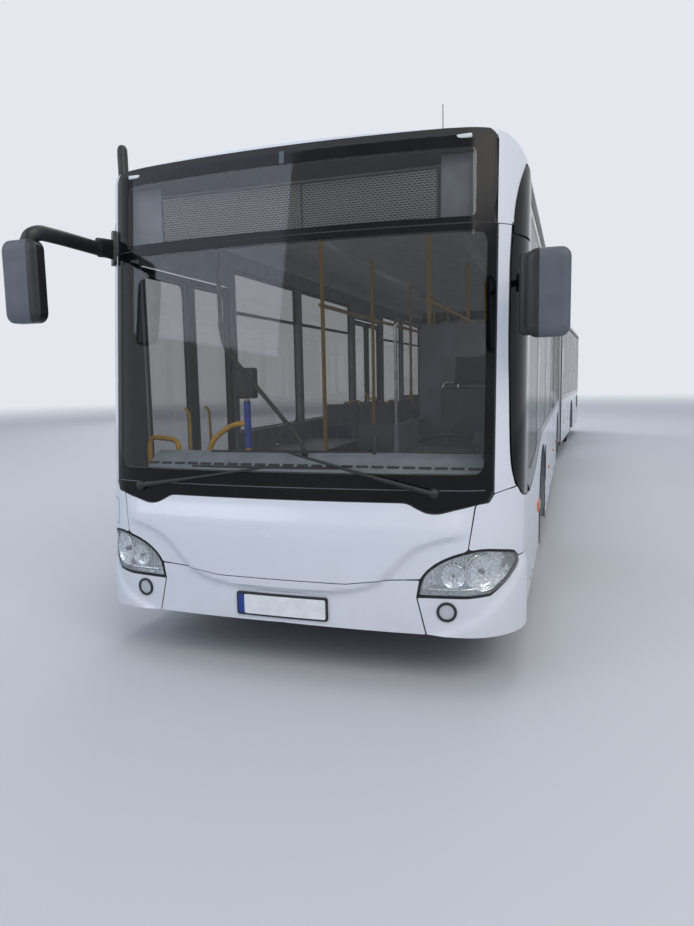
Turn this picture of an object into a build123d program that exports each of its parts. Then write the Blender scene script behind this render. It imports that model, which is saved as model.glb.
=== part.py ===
from build123d import *
import math
import os

os.makedirs("parts", exist_ok=True)

# Millimetres. x points to the bus's left, y back from the front end, z up from the road.
# Stations are distances behind the foremost point. The last section of this file sets
# them in the part's own frame and swings the rear section to its rest angle.

# Overall sizes
front_y = -8960
overall_length = 18125
body_width = 2550
side_top = 2720
roof_corner = 180
roof_crown = 20
skirt_bottom = 310
wall = 60
skin = 8
floor_top = 350
floor_thickness = 40
seat_gap = 0.3

# Front end
bow_radius = 7000
front_corner = 350
rake_start = 800
rake = 5.05
mask_end = 610

# Articulation
pivot_station = 10305
bellows_half = 600
rest_swing = 2.75
portal_depth = 60
portal_band = 110
table_radius = 700
table_clearance = 6
neck_half = 600
joint_beam_half = 350
joint_beam_drop = 80
bearing_radius = 400
pivot_pin = 60
pin_clearance = 0.05

# Wheels and axles
front_axle_station = 2805
middle_axle_station = 8705
rear_axle_station = 14695
tyre_radius = 478.5
tyre_width = 276
tread_width = 236
shoulder_depth = 40
tyre_sides = 48
rim_radius = 300
rim_width = 234
rim_wall = 22
front_wheel_inset = 222.5
twin_wheel_inset = 374
twin_spacing = 310
kingpin_inset = 152.5
arch_radius = 560
twin_arch_radius = 530
box_clearance = 60
box_skin = 15
front_box_inner = 550
twin_box_inner = 480

# Windows
window_low = 1170
window_high = 2600
glass_top = 2712
door_top = 2440
sill_top = 340
door_lift = 6
leaf_thickness = 40
leaf_gap = 14
leaf_axis_inset = 25
leaf_frame = 70
leaf_shaft = 10
door_width = 1300

half_width = body_width / 2
door_bottom = floor_top + door_lift
axle_height = tyre_radius
front_track = body_width - 2 * front_wheel_inset
twin_centre = half_width - twin_wheel_inset
kingpin_x = front_track / 2 - kingpin_inset
roof_edge = side_top + roof_corner
ceiling = roof_edge - wall
front_end = pivot_station - bellows_half
rear_start = pivot_station + bellows_half


# Helpers for plain shapes

def block(x0, x1, s0, s1, z0, z1):
    return Pos((x0 + x1) / 2, (s0 + s1) / 2, (z0 + z1) / 2) * Box(x1 - x0, s1 - s0, z1 - z0)


def upright(x, s, z0, z1, radius):
    return Pos(x, s, (z0 + z1) / 2) * Cylinder(radius, z1 - z0)


def crossways(x0, x1, s, z, radius):
    return Pos((x0 + x1) / 2, s, z) * Rot(0, 90, 0) * Cylinder(radius, x1 - x0)


def front_prism(outline, s0, s1):
    points = [(x, s0, z) for x, z in outline]
    face = make_face(Polyline(*points, close=True))
    return extrude(face, amount=s1 - s0, dir=(0, 1, 0))


def side_prism(outline, x0, x1):
    points = [(x0, s, z) for s, z in outline]
    face = make_face(Polyline(*points, close=True))
    return extrude(face, amount=x1 - x0, dir=(1, 0, 0))


def mirrored(shape):
    return mirror(shape, about=Plane.YZ)


def rod(start, end, radius):
    first = Vector(*start)
    line = Vector(*end) - first
    plane = Plane(origin=first, z_dir=line)
    return extrude(plane * Circle(radius), amount=line.length)


# Body shapes: a plan with a bowed front and a cross-section with rounded roof corners

def front_plan(inset, end):
    reach = bow_radius - front_corner
    centre_x = half_width - front_corner
    centre_s = bow_radius - math.sqrt(reach**2 - centre_x**2)
    along_x = centre_x / reach
    along_s = (centre_s - bow_radius) / reach
    join_x = along_x * (bow_radius - inset)
    join_s = bow_radius + along_s * (bow_radius - inset)
    side = half_width - inset
    turn = math.atan2(along_s, along_x) / 2
    middle_x = centre_x + (front_corner - inset) * math.cos(turn)
    middle_s = centre_s + (front_corner - inset) * math.sin(turn)
    edges = [
        ThreePointArc((-join_x, join_s), (0, inset), (join_x, join_s)),
        ThreePointArc((join_x, join_s), (middle_x, middle_s), (side, centre_s)),
        Line((side, centre_s), (side, end)),
        Line((side, end), (-side, end)),
        Line((-side, end), (-side, centre_s)),
        ThreePointArc((-join_x, join_s), (-middle_x, middle_s), (-side, centre_s)),
    ]
    return Face(Wire(edges))


def cross_section(inset, bottom, crown):
    side = half_width - inset
    bend = roof_corner - inset
    edge = half_width - roof_corner
    top = side_top + bend
    lean = bend * math.sqrt(0.5)
    if crown == 0:
        roof = [Line((edge, 0, top), (-edge, 0, top))]
    else:
        roof = [ThreePointArc((edge, 0, top), (0, 0, top + crown), (-edge, 0, top))]
    edges = [
        Line((-side, 0, bottom), (side, 0, bottom)),
        Line((side, 0, bottom), (side, 0, side_top)),
        ThreePointArc((side, 0, side_top), (edge + lean, 0, side_top + lean), (edge, 0, top)),
        *roof,
        ThreePointArc((-edge, 0, top), (-edge - lean, 0, side_top + lean), (-side, 0, side_top)),
        Line((-side, 0, side_top), (-side, 0, bottom)),
    ]
    return Face(Wire(edges))


def tube(inset, s0, s1, bottom, crown=roof_crown):
    return extrude(Pos(0, s0, 0) * cross_section(inset, bottom, crown), amount=s1 - s0, dir=(0, 1, 0))


def front_body(inset, bottom, end, crown=roof_crown):
    top = roof_edge + 300
    lower = extrude(Pos(0, 0, bottom) * front_plan(inset, end), amount=rake_start - bottom)
    rise = (top - rake_start) / math.cos(math.radians(rake))
    lean = (0, math.sin(math.radians(rake)), math.cos(math.radians(rake)))
    upper = extrude(Pos(0, 0, rake_start) * front_plan(inset, end), amount=rise, dir=lean)
    return (lower + upper) & tube(inset, -500, end, bottom, crown)


def layer(outer, inner, end):
    shell = front_body(outer, skirt_bottom, end) - front_body(inner, skirt_bottom - 50, end + 50)
    return shell


# Front section shell, with the openings for windows, doors and wheels

front_outer = front_body(0, skirt_bottom, front_end - portal_depth)
front_inner = front_body(wall, skirt_bottom - 50, front_end, crown=0)
front_shell = front_outer - front_inner
front_skin = front_outer - front_body(skin, skirt_bottom - 50, front_end)

# Windows of the front section: first station, last station
front_left_windows = [(700, 1880), (1970, 3420), (3510, 4960), (5050, 6500), (6590, 8040), (8130, 9560)]
front_right_windows = [(1990, 3420), (3510, 5270), (6830, 8040), (8130, 9560)]
front_doors = [640, 5400]

# Outline of the left glass in side view: it starts low beside the driver
pillar_width = 72
pillar_edge = half_width - pillar_width
corner_low = 1060
corner_high = 2440
left_band = [
    (0, corner_low), (mask_end + 20, corner_low), (930, 960), (1560, 995), (2760, window_low),
    (front_end - portal_depth, window_low), (front_end - portal_depth, glass_top),
    (mask_end + 20, glass_top), (mask_end + 20, corner_high), (0, corner_high),
]
left_band_prism = side_prism(left_band, pillar_edge, half_width + 50)


def right_band(s0, s1):
    outline = [(s0, window_low), (s1, window_low), (s1, glass_top), (s0, glass_top)]
    return side_prism(outline, -half_width - 50, -1100)


right_bands = [
    (front_doors[0] + door_width + 60, front_doors[1] - 60),
    (front_doors[1] + door_width + 60, front_end - portal_depth),
]
corner_band_right = block(-half_width - 50, -pillar_edge, 0, mask_end - 10, corner_low, corner_high)

front_glass_regions = [left_band_prism, corner_band_right]
front_glass_regions += [right_band(s0, s1) for s0, s1 in right_bands]

front_window_cuts = []
for s0, s1 in front_left_windows[1:]:
    front_window_cuts.append(block(1100, half_width + 50, s0, s1, window_low + 40, window_high))
front_window_cuts.append(
    side_prism([(700, 1030), (930, 1000), (1560, 1050), (1880, 1090), (1880, window_high), (700, window_high)],
               1100, half_width + 50))
for s0, s1 in front_right_windows:
    front_window_cuts.append(block(-half_width - 50, -1100, s0, s1, window_low + 40, window_high))

front_door_cuts = []
for s0 in front_doors:
    front_door_cuts.append(block(-half_width - 50, -1100, s0, s0 + door_width, skirt_bottom - 10, door_top))


def arch_cut(station, radius, side):
    x0, x1 = (1000, half_width + 50) if side > 0 else (-half_width - 50, -1000)
    round_part = crossways(x0, x1, station, axle_height, radius)
    return round_part + block(x0, x1, station - radius, station + radius, skirt_bottom - 60, axle_height)


front_arches = [arch_cut(front_axle_station, arch_radius, side) for side in (-1, 1)]
front_arches += [arch_cut(middle_axle_station, twin_arch_radius, side) for side in (-1, 1)]

# Windscreen and destination glass, drawn in front view
screen_inset = 141
display_inset = 155
screen_low = 1008
screen_high = 2427
display_low = 2433
display_high = 2868
screen_border = 44
display_border = 85
screen_half = half_width - screen_inset
display_half = half_width - display_inset
# Right half of the screen's lower edge: distance in from the screen's side, height
screen_foot = [(434, screen_low), (344, 965), (234, 965), (24, 1013), (0, 1075)]
right_foot = [(screen_half - inset, z) for inset, z in screen_foot]
left_foot = [(-x, z) for x, z in reversed(right_foot)]
screen_outline = left_foot + right_foot + [(screen_half, screen_high), (-screen_half, screen_high)]
display_outline = [
    (-display_half, display_low), (display_half, display_low), (display_half, display_high),
    (-display_half, display_high),
]
screen_prism = front_prism(screen_outline, -300, mask_end - 100)
display_prism = front_prism(display_outline, -300, mask_end - 60)
screen_clear = screen_half - screen_border
display_clear = display_half - display_border
screen_hole = block(-screen_clear, screen_clear, -300, mask_end - 60, 1150, 2395)
display_hole = block(-display_clear, display_clear, -300, mask_end - 60, 2465, 2800)

# Outline of a headlamp: distance in from the body's side, height
headlamp_points = [
    (512, 515), (477, 627), (368, 711), (206, 760), (80, 746), (41, 731), (18, 661),
    (79, 587), (149, 526), (263, 517),
]
headlamp_outline = [(half_width - inset, z) for inset, z in headlamp_points]
fog_inset = 364
fog_x = half_width - fog_inset
fog_z = 434
fog_radius = 44
lamp_depth = 45
headlamp_prism = front_prism(headlamp_outline, -300, mask_end - 120)
fog_prism = Pos(fog_x, 100, fog_z) * Rot(90, 0, 0) * Cylinder(fog_radius, 600)
lamp_prisms = [headlamp_prism, mirrored(headlamp_prism), fog_prism, mirrored(fog_prism)]
lamp_layer = front_outer - front_body(lamp_depth, skirt_bottom - 50, front_end)

shell = front_shell
for cut in front_window_cuts + front_door_cuts + front_arches + [screen_hole, display_hole]:
    shell = shell - cut
side_glass = [front_skin & region for region in front_glass_regions]
windscreen = [front_skin & screen_prism, front_skin & display_prism]
front_lamps = [lamp_layer & prism for prism in lamp_prisms]
for piece in side_glass + windscreen + front_lamps:
    shell = shell - piece

bumper_top = 590
brow_low = 2430
everywhere = 2000
mask_zone = block(-everywhere, everywhere, -everywhere, mask_end, bumper_top, brow_low)
brow_zone = block(-everywhere, everywhere, -everywhere, mask_end, brow_low, 3500)
bumper_zone = block(-everywhere, everywhere, -everywhere, mask_end, 0, bumper_top)
left_zone = block(0, everywhere, mask_end, front_end, 0, side_top)
right_zone = block(-everywhere, 0, mask_end, front_end, 0, side_top)
roof_zone = block(-everywhere, everywhere, mask_end, front_end, side_top, 3500)
front_mask = shell & mask_zone
front_brow = shell & brow_zone
front_bumper = shell & bumper_zone
front_left_side = shell & left_zone
front_right_side = shell & right_zone
front_roof = shell & roof_zone

# Raised roof hatches, each in one piece with its roof
hatch_half = 390
hatch_length = 780
hatch_rise = 75
hatch_round = 25
front_hatches = [2600, 7600]
rear_hatch = 15500


def hatch(station):
    lid = block(-hatch_half, hatch_half, station, station + hatch_length, roof_edge - 10, roof_edge + hatch_rise)
    return fillet(lid.edges().group_by(Axis.Z)[-1], hatch_round)


for station in front_hatches:
    front_roof += hatch(station)

# Rear section shell
rear_corner = 160
tail_depth = 200
tail_station = overall_length


def rear_plan(inset, start):
    face = Pos(0, (start + tail_station - inset) / 2) * Rectangle(body_width - 2 * inset, tail_station - inset - start)
    corners = face.vertices().sort_by(Axis.Y)[-2:]
    return fillet(corners, rear_corner - inset)


def rear_body(inset, bottom, start, crown=roof_crown):
    plan = extrude(Pos(0, 0, bottom) * rear_plan(inset, start), amount=3500)
    return plan & tube(inset, start, tail_station, bottom, crown)


rear_outer = rear_body(0, skirt_bottom, rear_start + portal_depth)
rear_inner = rear_body(wall, skirt_bottom - 50, rear_start, crown=0)
rear_skin = rear_outer - rear_body(skin, skirt_bottom - 50, rear_start)
rear_left_windows = [(11060, 12480), (12570, 13990), (14080, 15500), (15590, 17010), (17100, 17780)]
rear_right_windows = [(11060, 11700), (13260, 14500), (14590, 15830), (15920, 17010), (17100, 17780)]
rear_door = 11860
rear_left_band = side_prism([
    (rear_start + portal_depth, window_low), (tail_station - tail_depth - 40, window_low),
    (tail_station - tail_depth - 40, glass_top), (rear_start + portal_depth, glass_top)], 1100, half_width + 50)
rear_right_bands = [
    (rear_start + portal_depth, rear_door - 60),
    (rear_door + door_width + 60, tail_station - tail_depth - 40),
]
rear_glass_regions = [rear_left_band] + [right_band(s0, s1) for s0, s1 in rear_right_bands]
rear_window_half = 1000
rear_window_low = 1560
rear_window_high = 2500
rear_glass_block = block(
    -rear_window_half, rear_window_half, tail_station - 60, tail_station + 50, rear_window_low, rear_window_high)
rear_glass_hole = block(
    -rear_window_half + 50, rear_window_half - 50, tail_station - 200, tail_station + 50,
    rear_window_low + 50, rear_window_high - 50)
lid_half = 820
lid_low = 560
lid_high = 1380
lid_gap = 6
lid_thickness = 30
lid_hole = block(
    -lid_half - lid_gap, lid_half + lid_gap, tail_station - 200, tail_station + 50,
    lid_low - lid_gap, lid_high + lid_gap)
rear_shell = rear_outer - rear_inner
for s0, s1 in rear_left_windows:
    rear_shell = rear_shell - block(1100, half_width + 50, s0, s1, window_low + 40, window_high)
for s0, s1 in rear_right_windows:
    rear_shell = rear_shell - block(-half_width - 50, -1100, s0, s1, window_low + 40, window_high)
rear_door_cut = block(
    -half_width - 50, -1100, rear_door, rear_door + door_width, skirt_bottom - 10, door_top)
rear_shell = rear_shell - rear_door_cut - rear_glass_hole - lid_hole
for side in (-1, 1):
    rear_shell = rear_shell - arch_cut(rear_axle_station, twin_arch_radius, side)
rear_glass_union = rear_glass_block
for region in rear_glass_regions:
    rear_glass_union = rear_glass_union + region
rear_windows = rear_skin & rear_glass_union
rear_shell = rear_shell - rear_windows

tail_lamp_x = 1010
tail_lamp_width = 150
tail_lamp_low = 700
tail_lamp_high = 1360
tail_lamp_depth = 30
tail_lamp_zone = block(
    tail_lamp_x, tail_lamp_x + tail_lamp_width, tail_station - tail_lamp_depth, tail_station + 10,
    tail_lamp_low, tail_lamp_high)
tail_lamp_zone = tail_lamp_zone + mirrored(tail_lamp_zone)
tail_lamps = rear_outer & tail_lamp_zone
rear_shell = rear_shell - tail_lamp_zone

tail_split = tail_station - tail_depth
rear_left_side = rear_shell & block(0, everywhere, 0, tail_split, 0, side_top)
rear_right_side = rear_shell & block(-everywhere, 0, 0, tail_split, 0, side_top)
rear_roof = rear_shell & block(-everywhere, everywhere, 0, tail_split, side_top, 3500)
rear_roof += hatch(rear_hatch)
tail_panel = rear_shell & block(-everywhere, everywhere, tail_split, tail_station + 100, 0, 3500)

lid_blank = block(-lid_half, lid_half, tail_station - lid_thickness, tail_station, lid_low, lid_high)
engine_lid = lid_blank
hinge_radius = 8
hinge_station = tail_station + hinge_radius + seat_gap
hinge_height = lid_high + 4
for x in (-560, 560):
    engine_lid += crossways(x - 40, x + 40, hinge_station, hinge_height, hinge_radius)
    engine_lid += block(x - 40, x + 40, tail_station - 1, tail_station + 6, lid_high - 40, hinge_height)
louvre_count = 9
louvre_pitch = 56
louvre_depth = 12
for index in range(louvre_count):
    low = lid_low + 150 + index * louvre_pitch
    engine_lid = engine_lid - block(
        -lid_half + 120, lid_half - 120, tail_station - louvre_depth, tail_station + 10, low, low + 26)

# Joint frames: portals, turntable, necks and the pivot pin
beam_top = floor_top - floor_thickness
beam_bottom = beam_top - joint_beam_drop
table_split = beam_bottom + joint_beam_drop / 2


def portal(s0, s1):
    ring = tube(0, s0, s1, skirt_bottom) - tube(portal_band, s0 - 10, s1 + 10, skirt_bottom - 50, crown=0)
    return ring


front_joint_frame = portal(front_end - portal_depth, front_end)
front_joint_frame += block(
    -half_width + 20, half_width - 20, front_end - portal_depth, front_end, beam_bottom, beam_top)
front_joint_frame += block(-joint_beam_half, joint_beam_half, front_end - 700, front_end, beam_bottom, beam_top)
front_joint_frame += block(-joint_beam_half, joint_beam_half, front_end, pivot_station, beam_bottom, table_split)
front_joint_frame += upright(0, pivot_station, beam_bottom, table_split, bearing_radius)
front_joint_frame -= upright(0, pivot_station, 0, 1000, pivot_pin + pin_clearance)

table_bottom = table_split + seat_gap
rear_joint_frame = portal(rear_start, rear_start + portal_depth)
rear_joint_frame += block(
    -half_width + 20, half_width - 20, rear_start, rear_start + portal_depth, table_bottom, beam_top)
rear_joint_frame += block(-joint_beam_half, joint_beam_half, pivot_station, rear_start + 700, table_bottom, beam_top)
rear_joint_frame += block(-neck_half, neck_half, pivot_station, rear_start + portal_depth, beam_top, floor_top)
rear_joint_frame += upright(0, pivot_station, beam_top, floor_top, table_radius)
rear_joint_frame += upright(0, pivot_station, table_bottom, beam_top, bearing_radius)
rear_joint_frame += upright(0, pivot_station, beam_bottom - 20, table_bottom + 1, pivot_pin)

# Bellows: an inverted U with hoops that fan from one portal to the other
bellows_gap = 0.3
bellows_bottom = 345
bellows_inset = 60
bellows_depth = 30
hoop_reach = 45
hoop_width = 26
hoop_count = 13


def bellows_tube(inset, s0, s1, bottom):
    return tube(inset, s0, s1, bottom, crown=0)


def swung(shape, share):
    turn = Pos(0, pivot_station, 0) * Rot(0, 0, -rest_swing * share) * Pos(0, -pivot_station, 0)
    return turn * shape


sleeve = bellows_tube(bellows_inset, front_end - 200, rear_start + 200, bellows_bottom)
sleeve -= bellows_tube(bellows_inset + bellows_depth, front_end - 300, rear_start + 300, bellows_bottom - 50)
sleeve = swung(sleeve, 0.5)
front_face = block(-everywhere, everywhere, front_end - 2000, front_end + bellows_gap, 0, 4000)
rear_face = swung(block(-everywhere, everywhere, rear_start - bellows_gap, rear_start + 2000, 0, 4000), 1)
bellows = sleeve - front_face - rear_face
hoop_pitch = 2 * bellows_half / (hoop_count + 1)
for index in range(hoop_count):
    station = front_end + hoop_pitch * (index + 1)
    hoop = bellows_tube(bellows_inset - hoop_reach, station - hoop_width / 2, station + hoop_width / 2, bellows_bottom)
    hoop -= bellows_tube(bellows_inset + 5, station - hoop_width, station + hoop_width, bellows_bottom - 50)
    bellows += swung(hoop, (index + 1) / (hoop_count + 1))


# Floors with wheel boxes

def wheel_box(station, inner, half_length, top, side):
    outer = half_width - wall
    shell_box = block(inner, outer, station - half_length, station + half_length, floor_top - floor_thickness, top)
    hollow = block(
        inner + box_skin, outer + 10, station - half_length + box_skin, station + half_length - box_skin,
        0, top - box_skin)
    if side < 0:
        return mirrored(shell_box), mirrored(hollow)
    return shell_box, hollow


steer_box_half = 640
twin_box_half = tyre_radius + box_clearance + box_skin
box_top = 2 * tyre_radius + box_clearance + box_skin
front_floor = block(
    -half_width + wall, half_width - wall, wall + 140, front_end, floor_top - floor_thickness, floor_top)
front_floor = front_floor & front_body(wall, 0, front_end + 1, crown=0)
front_boxes = [
    (front_axle_station, front_box_inner, steer_box_half),
    (middle_axle_station, twin_box_inner, twin_box_half),
]
for station, inner, half_length in front_boxes:
    for side in (-1, 1):
        solid, hollow = wheel_box(station, inner, half_length, box_top, side)
        front_floor = front_floor + solid - hollow
front_floor -= portal(front_end - portal_depth, front_end)
front_floor += block(-neck_half, neck_half, front_end - 10, pivot_station, beam_top, floor_top)
front_floor -= upright(0, pivot_station, 0, 1000, table_radius + table_clearance)

for s0 in front_doors:
    front_floor += block(-half_width, -half_width + wall, s0, s0 + door_width, beam_top, sill_top)

# Jacking pads under the floor frame
jack_half = 60
jack_depth = 12
jack_x = 500
front_jack_station = 4200
rear_jack_station = 13300


def jack_pads(station):
    pad = block(jack_x - jack_half, jack_x + jack_half, station - jack_half, station + jack_half,
                beam_top - jack_depth, beam_top)
    return pad + mirrored(pad)


front_floor += jack_pads(front_jack_station)

podium_top = 700
podium_length = 1350
bay_length = 1425
bay_start = tail_station - bay_length
bay_top = 1150
podium_start = bay_start - podium_length
last_row_gap = 70
bay_skin = 30
rear_floor = block(
    -half_width + wall, half_width - wall, rear_start, bay_start, floor_top - floor_thickness, floor_top)
rear_floor -= portal(rear_start, rear_start + portal_depth)
rear_floor -= upright(0, pivot_station, 0, 1000, table_radius + seat_gap)
rear_floor -= block(-neck_half, neck_half, rear_start - 10, rear_start + portal_depth, 0, 1000)
for side in (-1, 1):
    solid, hollow = wheel_box(rear_axle_station, twin_box_inner, twin_box_half, box_top, side)
    rear_floor = rear_floor + solid - hollow
podium = block(-half_width + wall, half_width - wall, podium_start, bay_start, floor_top, podium_top)
podium -= block(
    -half_width, half_width, podium_start + bay_skin, bay_start - bay_skin, floor_top - 1, podium_top - bay_skin)
rear_floor += podium
rear_floor += block(-half_width + wall, half_width - wall, bay_start, bay_start + bay_skin, floor_top, bay_top)
deck = block(-half_width + wall, half_width - wall, bay_start, tail_station - wall, bay_top - bay_skin, bay_top)
rail_x = 450
rail_width = 100
rails = block(rail_x, rail_x + rail_width, bay_start - 20, tail_station - wall, beam_top, floor_top)
rear_floor += deck + rails + mirrored(rails)

rear_floor = rear_floor & rear_body(wall, 0, rear_start - 1, crown=0)
rear_floor += block(-half_width, -half_width + wall, rear_door, rear_door + door_width, beam_top, sill_top)
rear_floor += jack_pads(rear_jack_station)

# Engine block on the bay's rails
engine_half = 640
engine_top = 1020
engine = block(-engine_half, engine_half, bay_start + 160, tail_station - 260, floor_top, engine_top)
engine += upright(0, bay_start + 500, engine_top - 1, engine_top + 60, 180)


# Wheels. Their axis lies along x.

def turned(profile, x, station):
    points = [(across, 0, radius) for across, radius in profile]
    face = make_face(Polyline(*points, close=True))
    return Pos(x, station, axle_height) * revolve(face, axis=Axis.X)


def many_sided(x, radius):
    plane = Plane(origin=(x, 0, 0), x_dir=(0, 1, 0), z_dir=(1, 0, 0))
    return plane * RegularPolygon(radius, tyre_sides, major_radius=False, rotation=180 / tyre_sides)


# Tyres have flat facets, one of them flat on the road
def tyre(x, station):
    side = tyre_width / 2
    tread = tread_width / 2
    shoulder = tyre_radius - shoulder_depth
    sections = [
        many_sided(-side, shoulder), many_sided(-tread, tyre_radius), many_sided(tread, tyre_radius),
        many_sided(side, shoulder),
    ]
    body = loft(sections, ruled=True)
    bore = extrude(many_sided(-side - 10, rim_radius), amount=tyre_width + 20)
    return Pos(x, station, axle_height) * (body - bore)


def barrel(x, station):
    half = rim_width / 2
    outer = rim_radius - seat_gap
    inner = outer - rim_wall
    profile = [(-half, inner), (-half, outer), (half, outer), (half, inner)]
    return turned(profile, x, station)


hub_radius = 130
front_hub_radius = 93
spindle_radius = 40
stub_radius = 60
front_bore_end = 100
twin_bore_end = 250
disc_dish = 60
disc_thickness = 16


def disc(x_rim, x_hub, station):
    inner = rim_radius - seat_gap - rim_wall + 2
    towards = 1 if x_hub > x_rim else -1
    profile = [
        (x_rim, inner), (x_rim + towards * disc_thickness, inner),
        (x_hub + towards * disc_thickness, hub_radius + 40), (x_hub + towards * disc_thickness, 40),
        (x_hub, 40), (x_hub, hub_radius + 40),
    ]
    return turned(profile, 0, station)


# Hand holes through the discs
hole_count = 10
hole_circle = 215
hole_radius = 24


def hand_holes(x0, x1, station):
    holes = []
    for index in range(hole_count):
        angle = 2 * math.pi * index / hole_count
        place = (station + hole_circle * math.cos(angle), axle_height + hole_circle * math.sin(angle))
        holes.append(crossways(x0, x1, *place, hole_radius))
    return holes


def front_wheel(side):
    x = front_track / 2
    rim = barrel(x, front_axle_station) + disc(x + 40, x + 95, front_axle_station)
    rim += crossways(x - 30, x + 150, front_axle_station, axle_height, front_hub_radius)
    rim -= crossways(x - 31, x + front_bore_end, front_axle_station, axle_height, spindle_radius + pin_clearance)
    rim -= hand_holes(x, x + 150, front_axle_station)
    rubber = tyre(x, front_axle_station)
    if side < 0:
        return mirrored(rubber), mirrored(rim)
    return rubber, rim


def twin_wheel(station, side):
    outer = twin_centre + twin_spacing / 2
    inner = twin_centre - twin_spacing / 2
    rim = barrel(outer, station) + barrel(inner, station)
    rim += disc(outer - 20, outer - 110, station) + disc(inner + 20, inner + 110, station)
    rim += crossways(inner + 100, outer + 60, station, axle_height, hub_radius)
    rim -= crossways(inner + 99, inner + twin_bore_end, station, axle_height, stub_radius + pin_clearance)
    rim -= hand_holes(inner, outer, station)
    rubber = tyre(outer, station) + tyre(inner, station)
    if side < 0:
        return mirrored(rubber), mirrored(rim)
    return rubber, rim


# Front axle beam with eyes round the kingpins, and the knuckles
eye_radius = 60
eye_half = 75
pin_radius = 25
ear_gap = 5
ear_thickness = 34
front_axle = block(-kingpin_x + 20, kingpin_x - 20, front_axle_station - 45, front_axle_station + 45,
                   axle_height - 60, axle_height + 60)
front_axle -= block(-front_box_inner - 60, front_box_inner + 60, front_axle_station - 100, front_axle_station + 100,
                    beam_bottom + 60, axle_height + 100)
front_axle += block(-front_box_inner - 100, front_box_inner + 100, front_axle_station - 45,
                    front_axle_station + 45, beam_bottom - 40, beam_top)
for side in (-1, 1):
    leg = block(front_box_inner + 60, front_box_inner + 130, front_axle_station - 45, front_axle_station + 45,
                beam_bottom - 40, axle_height + 60)
    front_axle += leg if side > 0 else mirrored(leg)
    front_axle += upright(side * kingpin_x, front_axle_station, axle_height - eye_half, axle_height + eye_half, eye_radius)
for side in (-1, 1):
    front_axle -= upright(side * kingpin_x, front_axle_station, 0, 1000, pin_radius + pin_clearance)


def knuckle(side):
    low = axle_height - eye_half - ear_gap
    high = axle_height + eye_half + ear_gap
    body = upright(kingpin_x, front_axle_station, low - ear_thickness, high + ear_thickness, pin_radius)
    body += upright(kingpin_x, front_axle_station, low - ear_thickness, low, eye_radius)
    body += upright(kingpin_x, front_axle_station, high, high + ear_thickness, eye_radius)
    back = kingpin_x + eye_radius + 12
    body += block(back, back + 40, front_axle_station - 55, front_axle_station + 55, low - ear_thickness,
                  high + ear_thickness)
    body += block(kingpin_x, back + 1, front_axle_station - 40, front_axle_station + 40, low - ear_thickness, low)
    body += block(kingpin_x, back + 1, front_axle_station - 40, front_axle_station + 40, high, high + ear_thickness)
    body += crossways(back, front_track / 2 + front_bore_end - 5, front_axle_station, axle_height, spindle_radius)
    if side < 0:
        return mirrored(body)
    return body


# A beam under the aisle, with legs that rise inside the wheel boxes to the hubs
axle_beam_depth = 110
axle_beam_width = 150
leg_outer = 590


def beam_axle(station):
    inner = twin_centre - twin_spacing / 2
    low = beam_top - 10 - axle_beam_depth
    leg_inner = twin_box_inner + box_skin + 8
    body = block(-leg_outer, leg_outer, station - axle_beam_width / 2, station + axle_beam_width / 2, low, beam_top - 10)
    for x in (-360, 360):
        body += block(x - 60, x + 60, station - 60, station + 60, beam_top - 10, beam_top)
    for side in (-1, 1):
        leg = block(leg_inner, leg_outer, station - 110, station + 110, low, axle_height + 110)
        leg += crossways(leg_inner, inner + 90, station, axle_height, 85)
        leg += crossways(leg_inner, inner + twin_bore_end - 6, station, axle_height, stub_radius)
        body += leg if side > 0 else mirrored(leg)
    return body


middle_axle = beam_axle(middle_axle_station)
rear_axle = beam_axle(rear_axle_station)


# Door leaves, each turning inwards about a post at the doorway's outer edge
leaf_width = (door_width - 3 * leaf_gap) / 2


def door_leaf(first_station, height, axis_station):
    outer = -half_width
    leaf = block(outer, outer + leaf_thickness, first_station, first_station + leaf_width, door_bottom, height)
    pocket = block(
        outer + skin, outer + leaf_thickness + 10, first_station + leaf_frame,
        first_station + leaf_width - leaf_frame, door_bottom + 2 * leaf_frame, height - leaf_frame)
    shaft = upright(
        outer + leaf_thickness / 2, axis_station, sill_top + seat_gap, door_top - seat_gap, leaf_shaft)
    return leaf - pocket + shaft


leaf_high = door_top - leaf_gap
door_leaves = {}
for number, station, group in [(1, front_doors[0], "front"), (2, front_doors[1], "front"), (3, rear_door, "rear")]:
    fore = door_leaf(station + leaf_gap, leaf_high, station + leaf_gap + leaf_axis_inset)
    aft_axis = station + door_width - leaf_gap - leaf_axis_inset
    aft = door_leaf(station + 2 * leaf_gap + leaf_width, leaf_high, aft_axis)
    door_leaves[f"door_{number}_front_leaf"] = (fore, group)
    door_leaves[f"door_{number}_rear_leaf"] = (aft, group)

# Seats: a cushion and a back on a box foot, drawn in side view
seat_width = 430
seat_depth = 430
seat_height = 430
seat_back = 1020
seat_thickness = 60


def seat(x, station, base, facing=1):
    outline = [
        (station, base + seat_height - seat_thickness), (station + seat_depth, base + seat_height - seat_thickness),
        (station + seat_depth + 90, base + seat_back), (station + seat_depth + 35, base + seat_back),
        (station + seat_depth - 50, base + seat_height), (station, base + seat_height),
    ]
    if facing < 0:
        outline = [(2 * station + seat_depth - s, z) for s, z in outline]
    chair = side_prism(outline, x - seat_width / 2, x + seat_width / 2)
    foot = block(x - 60, x + 60, station + 140, station + 300, base, base + seat_height - seat_thickness)
    return chair + foot


window_seat = half_width - wall - 20 - seat_width / 2
aisle_seat = window_seat - seat_width - 15

# Rows in the front section: station, side
front_rows = [(3560, 1), (4320, 1), (5080, 1), (7320, 1), (3560, -1), (4320, -1), (7320, -1)]
front_seats = []
for station, side in front_rows:
    for x in (window_seat, aisle_seat):
        front_seats.append(seat(side * x, station, floor_top))

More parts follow.
